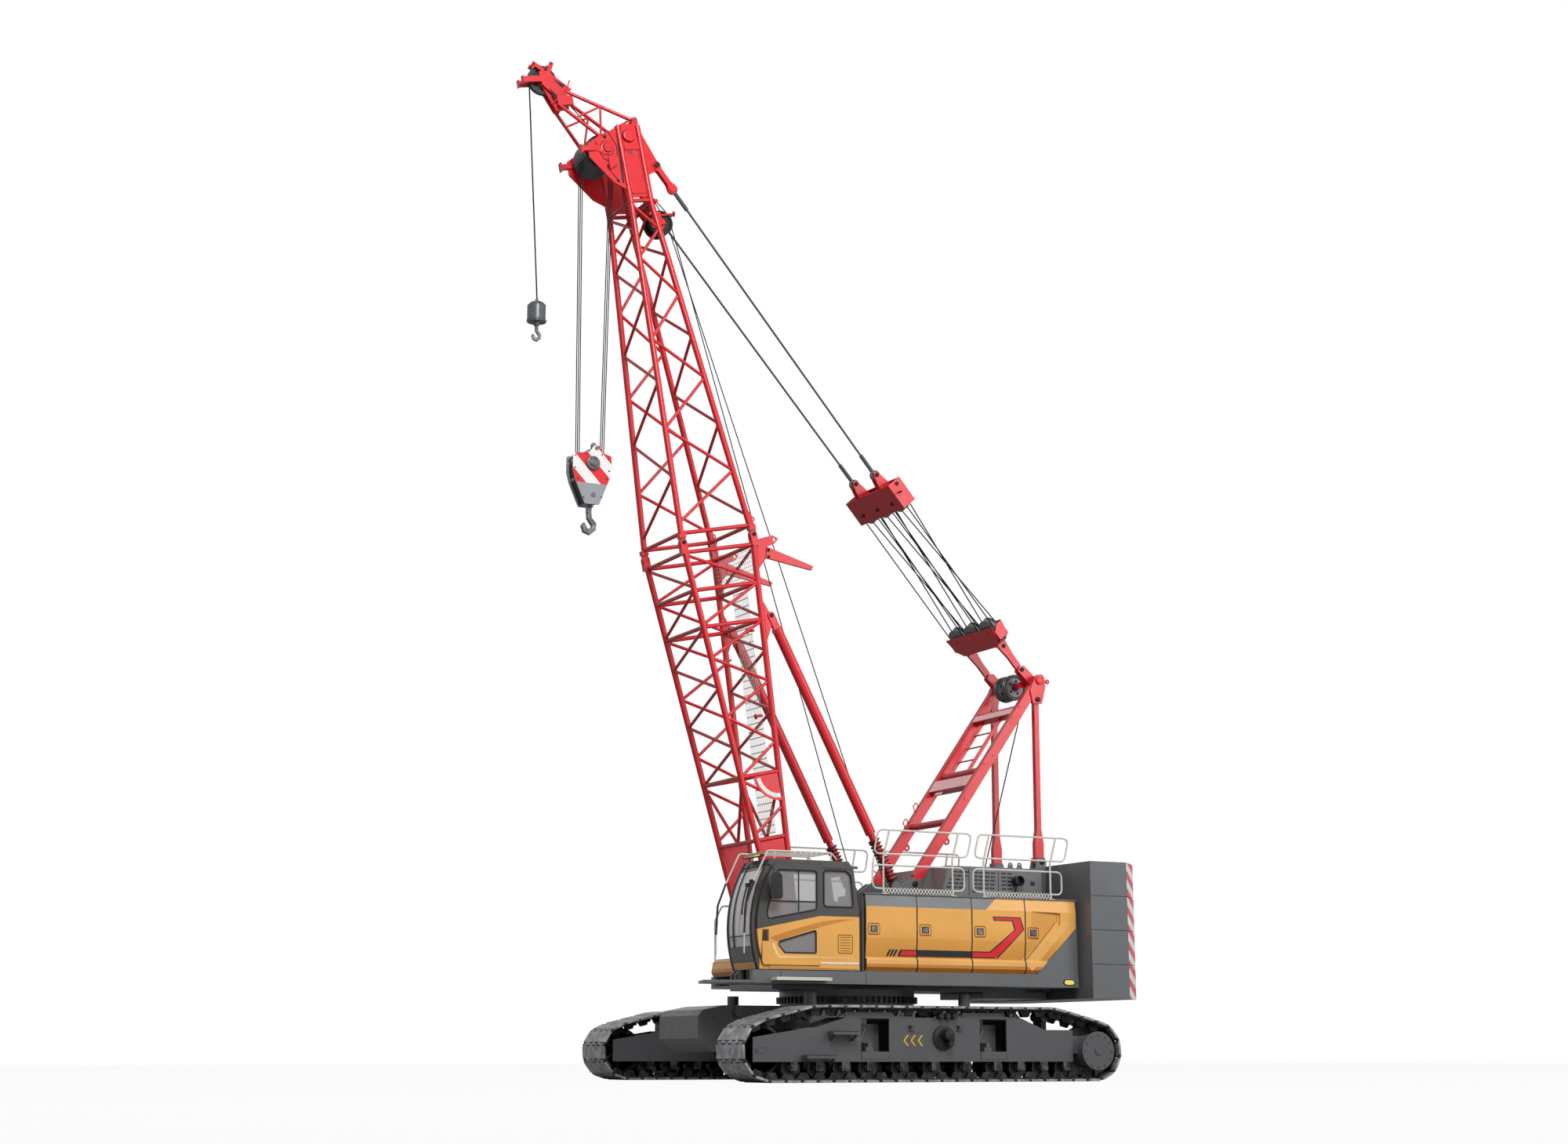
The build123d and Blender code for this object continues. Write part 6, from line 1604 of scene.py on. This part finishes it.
    def base(self):
        form = Form()
        rear = chord(6.3)[0] - 0.05
        for row in range(8):
            for column in range(4):
                y = -0.64 + column * 0.045
                form.beam(on_boom(6.07 + row * 0.068, rear, y), on_boom(6.10 + row * 0.068, rear, y), 0.024,
                          0.006, BOOM_X)
        for column in range(5):
            y = -0.66 + column * 0.045
            form.beam(on_boom(6.05, rear, y), on_boom(6.62, rear, y), 0.016, 0.008, BOOM_X)
        for side in (1, -1):
            for station, depth in ((6.98, 0.70), (7.10, 0.70)):
                form.ring(on_boom(station, depth, side * 0.742), SIDE, 0.030, 0.012, 16, 6)
            form.plate(boom_outline(((6.93, 0.64), (6.93, 0.70), (7.16, 0.70), (7.30, 0.62)), side * 0.735),
                       SIDE * side * 0.014)
        for station, y in ((5.30, 0.45), (4.95, -0.50), (3.9, 0.40)):
            depth = chord(station)[0]
            form.rod(on_boom(station, depth - 0.02, y), on_boom(station, depth - 0.16, y), 0.018, 10)
            form.turned([(0, 0.045), (0.02, 0.045)], on_boom(station, depth - 0.16, y), BOOM_X, 16)
        make_piece("base_fittings", form, "boom", ("boom",), 0.002)

        form = Form()
        centre = (2.93, 0.30)
        fan = [(centre[0] - 0.44 * cos(radians(a)), centre[1] - 0.44 * sin(radians(a)))
               for a in range(0, 91, 10)]
        form.plate(boom_outline([centre, *fan], 0.735), (0, 0.008, 0))
        form.paint = 1
        outer = [(centre[0] - 0.40 * cos(radians(a)), centre[1] - 0.40 * sin(radians(a)))
                 for a in range(4, 87, 9)]
        inner = [(centre[0] - 0.33 * cos(radians(a)), centre[1] - 0.33 * sin(radians(a)))
                 for a in range(4, 87, 9)]
        for (a, b), (c, d) in zip(zip(outer, outer[1:]), zip(inner, inner[1:])):
            form.plate(boom_outline([a, b, d, c], 0.7425), (0, 0.003, 0))
        form.paint = 2
        hand = boom_outline(((2.93, 0.29), (2.93, 0.31), (2.55, 0.315), (2.55, 0.295)), 0.746)
        form.plate(hand, (0, 0.003, 0))
        make_piece("boom_angle_plate", form, "boom", ("boom", "white", "marking"))


# ---------------------------------------------------------------- hooks
class CRANE_OT_hooks(bpy.types.Operator):
    """Adds flanges, bolts, becket and shroud to the hook block and the auxiliary hook"""
    bl_idname = "crane.hooks"
    bl_label = "Hook Fittings"

    def execute(self, context):
        x, z = BLOCK.x, BLOCK.z
        form = Form()
        for side in (1, -1):
            axis = SIDE * side
            form.turned([(0, 0.115), (0.016, 0.115), (0.020, 0.105)], (x, side * 0.170, z), axis, 32)
            form.turned([(0.018, 0.060), (0.034, 0.056), (0.040, 0.040)], (x, side * 0.170, z), axis, 24)
            for turn in turns_of(6):
                form.bolt((x + 0.086 * cos(turn), side * 0.189, z + 0.086 * sin(turn)), axis, 0.026)
            form.turned([(0, 0.036), (0.020, 0.032)], (x - 0.02, side * 0.150, z - 0.52), axis, 16)
            form.slab((x - 0.06, x + 0.03), (side * 0.150, side * 0.162), (z - 0.545, z - 0.535))
        form.turned([(0, 0.030), (0.34, 0.030)], (x - 0.065, -0.17, z + 0.262), SIDE, 16)
        form.plate([(x - 0.105, -0.035, z + 0.24), (x - 0.025, -0.035, z + 0.24),
                    (x - 0.03, -0.035, z + 0.36),
                    (x - 0.06, -0.035, z + 0.39), (x - 0.10, -0.035, z + 0.36)], (0, 0.07, 0))
        make_piece("block_flanges", form, "main_block", ("forged",), 0.002)

        form = Form()
        edge = ((0.30, 0.105), (0.305, -0.10), (0.12, 0.145), (-0.27, 0.11), (-0.29, -0.10), (-0.245, -0.24),
                (-0.16, -0.55), (0.15, -0.58), (0.255, -0.28), (-0.16, 0.16))
        for side in (1, -1):
            for dx, dz in edge:
                form.bolt((x + dx, side * 0.150, z + dz), SIDE * side, 0.026)
        make_piece("block_bolts", form, "main_block", ("black",))

        form = Form()
        front = ((0.30, 0.02), (0.30, -0.13), (0.262, -0.29), (0.11, -0.655), (0.10, -0.55), (0.24, -0.26))
        rear = ((-0.10, -0.655), (-0.262, -0.27), (-0.30, -0.12), (-0.30, -0.02), (-0.24, -0.24),
                (-0.09, -0.55))
        for outline in (front, rear):
            form.panel([(x + dx, z + dz) for dx, dz in outline], -0.127, 0.254)
        make_piece("block_shroud", form, "main_block", ("black",), 0.004)

        form = Form()
        form.turned([(-0.72, 0.042), (-0.70, 0.055), (-0.655, 0.055)], (x, 0, z), (0, 0, 1), 20)
        make_piece("block_swivel", form, "main_block", ("forged",), 0.002)

        x, z = BALL.x, BALL.z
        form = Form()
        form.turned([(-0.168, 0.150), (-0.150, 0.160), (-0.128, 0.160), (-0.124, 0.156)], (x, 0, z),
                    (0, 0, 1), 40)
        form.turned([(0.108, 0.157), (0.118, 0.153), (0.166, 0.106), (0.170, 0.060)], (x, 0, z), (0, 0, 1),
                    40)
        form.turned([(0.166, 0.036), (0.215, 0.026), (0.250, 0.014)], (x, 0, z), (0, 0, 1), 20)
        form.turned([(-0.230, 0.040), (-0.200, 0.052), (-0.168, 0.052)], (x, 0, z), (0, 0, 1), 24)
        for turn in turns_of(8, pi / 8):
            form.bolt((x + 0.158 * cos(turn), 0.158 * sin(turn), z - 0.142), (cos(turn), sin(turn), 0), 0.026)
        make_piece("ball_fittings", form, "aux_ball", ("forged",), 0.002)
        return {"FINISHED"}


# ---------------------------------------------------------------- gantry and tackle
LEG_FOOT = Vector((-0.876, 0, 3.170))
LEG_HEAD = Vector((-3.417, 0, 6.752))
LEG = (LEG_HEAD - LEG_FOOT).normalized()
LEG_FRONT = Vector((LEG.z, 0, -LEG.x))
TACKLE_UP = Vector((-sin(TACKLE_ANGLE), 0, cos(TACKLE_ANGLE)))
STOP_LEAD = Vector((cos(STOP_ANGLE), 0, sin(STOP_ANGLE)))


def on_leg(share, front, y):
    """Point on the gantry: a share of its length, how far in front of the leg's middle, and y."""
    return LEG_FOOT.lerp(LEG_HEAD, share) + LEG_FRONT * front + SIDE * y


class CRANE_OT_gantry(bpy.types.Operator):
    """Fits out the gantry, the luffing tackle and the backstops"""
    bl_idname = "crane.gantry"
    bl_label = "Gantry and Tackle"

    def execute(self, context):
        form = Form()
        for side in (1, -1):
            for x, z, radius, y in ((-0.876, 3.170, 0.050, 0.768), (-3.370, 3.620, 0.045, 0.768),
                                    (-3.370, 6.415, 0.042, 0.762), (-3.180, 6.950, 0.036, 0.566)):
                form.turned([(0, radius), (0.018, radius), (0.026, radius * 0.7)], (x, side * y, z),
                            (0, side, 0), 20)
            form.turned([(0, 0.012), (0.012, 0.010)], on_leg(0.62, 0.0, side * 0.722), SIDE * side, 12)
        make_piece("gantry_pin_caps", form, "superstructure", ("black",), 0.002)

        form = Form()
        inner, sheet, depth, rear = 0.613, 0.008, 0.085, -0.0255
        # Plates given paint 1 take the pale pink painted highlight of faces the light falls on.
        for low, high in ((0.461, 0.514), (0.818, 0.847)):
            form.paint = 1
            for front in (depth, rear):
                form.plate([on_leg(low, front, -inner), on_leg(high, front, -inner),
                            on_leg(high, front, inner), on_leg(low, front, inner)],
                           LEG_FRONT * (sheet if front > 0 else -sheet))
            for share in (low, high):
                form.paint = 0 if share == low else 1
                form.plate([on_leg(share, rear, -inner), on_leg(share, depth, -inner),
                            on_leg(share, depth, inner), on_leg(share, rear, inner)], LEG * sheet)
        form.paint = 0
        for y in (-0.40, 0.18):
            form.beam(on_leg(0.555, 0, y), on_leg(0.825, 0, y), 0.03, 0.06, LEG_FRONT)
        for k in range(3):
            form.rod(on_leg(0.62 + k * 0.068, 0, -0.40), on_leg(0.62 + k * 0.068, 0, 0.18), 0.014, 8)
        form.paint = 1
        form.beam(on_leg(0.461, 0.05, -0.30), on_leg(0.445, 0.05, -0.30), 0.22, 0.012, LEG_FRONT)
        form.paint = 0
        for side in (1, -1):
            y = side * 0.667
            place = on_leg(0.225, -0.125, y)
            form.ring(place, SIDE, 0.045, 0.018, 18, 8)
            form.plate([on_leg(0.20, -0.085, y - 0.015), on_leg(0.25, -0.085, y - 0.015),
                        on_leg(0.238, -0.12, y - 0.015), on_leg(0.212, -0.12, y - 0.015)], (0, 0.03, 0))
            for share in (0.30, 0.78, 0.86):
                form.turned([(0, 0.020), (0.006, 0.020)], on_leg(share, 0.03, side * 0.722), SIDE * side, 14)
            form.turned([(0, 0.075), (0.018, 0.075), (0.022, 0.055)], LEG_HEAD + SIDE * side * 0.762,
                        SIDE * side, 28)
            for turn in turns_of(4, pi / 4):
                form.bolt((LEG_HEAD.x + 0.05 * cos(turn), side * 0.784, LEG_HEAD.z + 0.05 * sin(turn)),
                          SIDE * side, 0.026)
            form.rod((-3.40, y, 6.735), (-3.62, y, 6.750), 0.026, 12)
            form.ring((-3.63, y, 6.751), SIDE, 0.032, 0.014, 16, 6)
        for share in (0.29, 0.37):
            step = [on_leg(share + along, front, -0.667)
                    for along, front in ((-0.006, depth), (0.006, 0.175), (0.030, 0.175), (0.018, depth))]
            form.sweep(rounded(step, 0.03, 3), 0.010, 8)
        make_piece("gantry_fittings", form, "superstructure", ("boom", "painted_highlight"), 0.003)

        form = Form()
        # The black discs and slot on the leg plates are painted shade in their holes.
        for side in (1, -1):
            for share in (0.569, 0.800, 0.854):
                form.turned([(0, 0.013), (0.002, 0.013)], on_leg(share, 0.055, side * 0.7225), SIDE * side,
                            12)
            form.beam(on_leg(0.412, 0.05, side * 0.7225), on_leg(0.396, 0.0, side * 0.7225), 0.012, 0.003,
                      SIDE)
        make_piece("gantry_holes", form, "superstructure", ("black",))

        form = Form()
        x, z = GANTRY_SHEAVE
        for y, side in [(y, side) for y in GANTRY_SHEAVE_YS for side in (1, -1)]:
            # The outer ring is a painted highlight on the flange edge; the disc is the web's own grey.
            form.paint = 0
            form.ring((x, y + side * 0.034, z), SIDE, 0.222, 0.006, 36, 5)
            form.ring((x, y + side * 0.033, z), SIDE, 0.188, 0.006, 30, 5)
            form.turned([(0, 0.165), (0.004, 0.165)], (x, y + side * 0.0175, z), SIDE * side, 30)
            # The black discs are painted shade in the holes of the sheave webs.
            form.paint = 1
            for turn in turns_of(5, 0.5):
                form.turned([(0, 0.026), (0.001, 0.026)],
                            (x + 0.115 * cos(turn), y + side * 0.022, z + 0.115 * sin(turn)),
                            SIDE * side, 14)
        make_piece("gantry_sheave_rims", form, "gantry_sheaves", ("rim", "black"))

        groove = [(-0.070, 0.200), (-0.066, 0.217), (-0.060, 0.217), (-0.050, 0.198), (-0.040, 0.217),
                  (-0.034, 0.217), (-0.033, 0.207)]
        for name, body, distance in (("tackle_sheaves", "tackle", TACKLE_LOW),
                                     ("spreader_sheaves", "spreader", TACKLE_HIGH)):
            form = Form()
            for y in TACKLE_WHEEL_YS:
                form.turned(groove + [(-along, radius) for along, radius in reversed(groove)],
                            on_tackle(distance, 0, y), TACKLE_UP, 32)
            make_piece(name, form, body, ("rim",))

        form = Form()
        for side in (1, -1):
            y = side * 0.735
            form.plate([on_tackle(0.70, -0.11, y), on_tackle(0.86, -0.11, y), on_tackle(0.95, 0.02, y),
                        on_tackle(0.95, 0.11, y), on_tackle(0.70, 0.11, y)], SIDE * side * 0.016)
            form.plate([on_tackle(0.56, -0.11, side * 0.44), on_tackle(0.56, 0.11, side * 0.44),
                        on_tackle(0.70, 0.11, y), on_tackle(0.70, -0.11, y)], SIDE * side * 0.016)
        make_piece("tackle_end_plates", form, "tackle", ("boom",), 0.002)

        for name, body, distance, front, finish in (
                ("tackle_pin_caps", "tackle", TACKLE_LOW, 0.125, "boom"),
                ("spreader_pin_caps", "spreader", TACKLE_HIGH, 0.140, "black")):
            form = Form()
            for y in TACKLE_WHEEL_YS:
                for side in (1, -1):
                    form.turned([(0, 0.036), (0.012, 0.036), (0.020, 0.026)],
                                on_tackle(distance, side * front, y),
                                TACKLE_UP * side, 16)
            make_piece(name, form, body, (finish,), 0.002)

        form = Form()
        for side in (1, -1):
            for y in (side * 0.30, side * 0.44):
                outward = 1 if y > side * 0.37 else -1
                form.turned([(0, 0.036), (0.016, 0.036), (0.022, 0.026)], on_tackle(4.228, 0, y),
                            SIDE * outward, 16)
            form.turned([(0, 0.034), (0.014, 0.034), (0.020, 0.024)], on_tackle(3.94, 0.02, side * 0.76),
                        SIDE * side, 16)
            form.rod(on_tackle(3.80, -0.05, side * 0.76), on_tackle(3.80, -0.05, side * 0.86), 0.016, 10)
        make_piece("spreader_pins", form, "spreader", ("black",), 0.002)

        form = Form()
        for side in (1, -1):
            form.turned([(0, 0.030), (0.014, 0.030), (0.020, 0.022)], on_tackle(0.02, 0, side * 0.53),
                        SIDE * side, 16)
            form.turned([(0, 0.034), (0.014, 0.034), (0.020, 0.024)], on_tackle(0.52, 0, side * 0.53),
                        SIDE * side, 16)
        make_piece("tackle_link_pins", form, "tackle", ("black",), 0.002)

        form = Form()
        coils, steps, coil_radius = 11, 14, 0.088
        for y in (0.738, -0.738):
            coil = [on_stop(0.10 + 0.70 * k / (coils * steps), coil_radius * cos(2 * pi * k / steps),
                            y + coil_radius * sin(2 * pi * k / steps)) for k in range(coils * steps + 1)]
            form.sweep(coil, 0.013, 7)
            for distance in (0.09, 0.80):
                form.turned([(0, 0.10), (0.018, 0.10)], on_stop(distance, 0, y), STOP_LEAD, 24)
        make_piece("backstop_springs", form, "backstop_rods", ("black",))
        return {"FINISHED"}


class CranePanel(bpy.types.Panel):
    """Lists the steps that dress the crane"""
    bl_idname = "CRANE_PT_panel"
    bl_label = "Crawler Crane"
    bl_space_type = "VIEW_3D"
    bl_region_type = "UI"
    bl_category = "Crane"

    def draw(self, context):
        for group in GROUPS:
            box = self.layout.box()
            box.label(text=group.__doc__)
            settings = getattr(context.scene, GROUPS[group])
            for name in group.__annotations__:
                box.prop(settings, name)
        for step in STEPS:
            self.layout.operator(step.bl_idname)


GROUPS = {CranePaint: "crane_paint", CraneRopes: "crane_ropes", CraneRails: "crane_rails",
          CraneStudio: "crane_studio"}
STEPS = (CRANE_OT_studio, CRANE_OT_finishes, CRANE_OT_hoist_ropes, CRANE_OT_luffing_ropes, CRANE_OT_rails,
         CRANE_OT_housings, CRANE_OT_hood, CRANE_OT_cab, CRANE_OT_tracks, CRANE_OT_undercarriage,
         CRANE_OT_boom, CRANE_OT_hooks, CRANE_OT_gantry)


def register():
    for item in (*GROUPS, *STEPS, CranePanel):
        bpy.utils.register_class(item)
    for group, name in GROUPS.items():
        setattr(bpy.types.Scene, name, PointerProperty(type=group))


def unregister():
    for name in GROUPS.values():
        delattr(bpy.types.Scene, name)
    for item in reversed((*GROUPS, *STEPS, CranePanel)):
        bpy.utils.unregister_class(item)


def main():
    register()
    for step in STEPS:
        group, name = step.bl_idname.split(".")
        getattr(getattr(bpy.ops, group), name)()


if __name__ == "__main__":
    main()
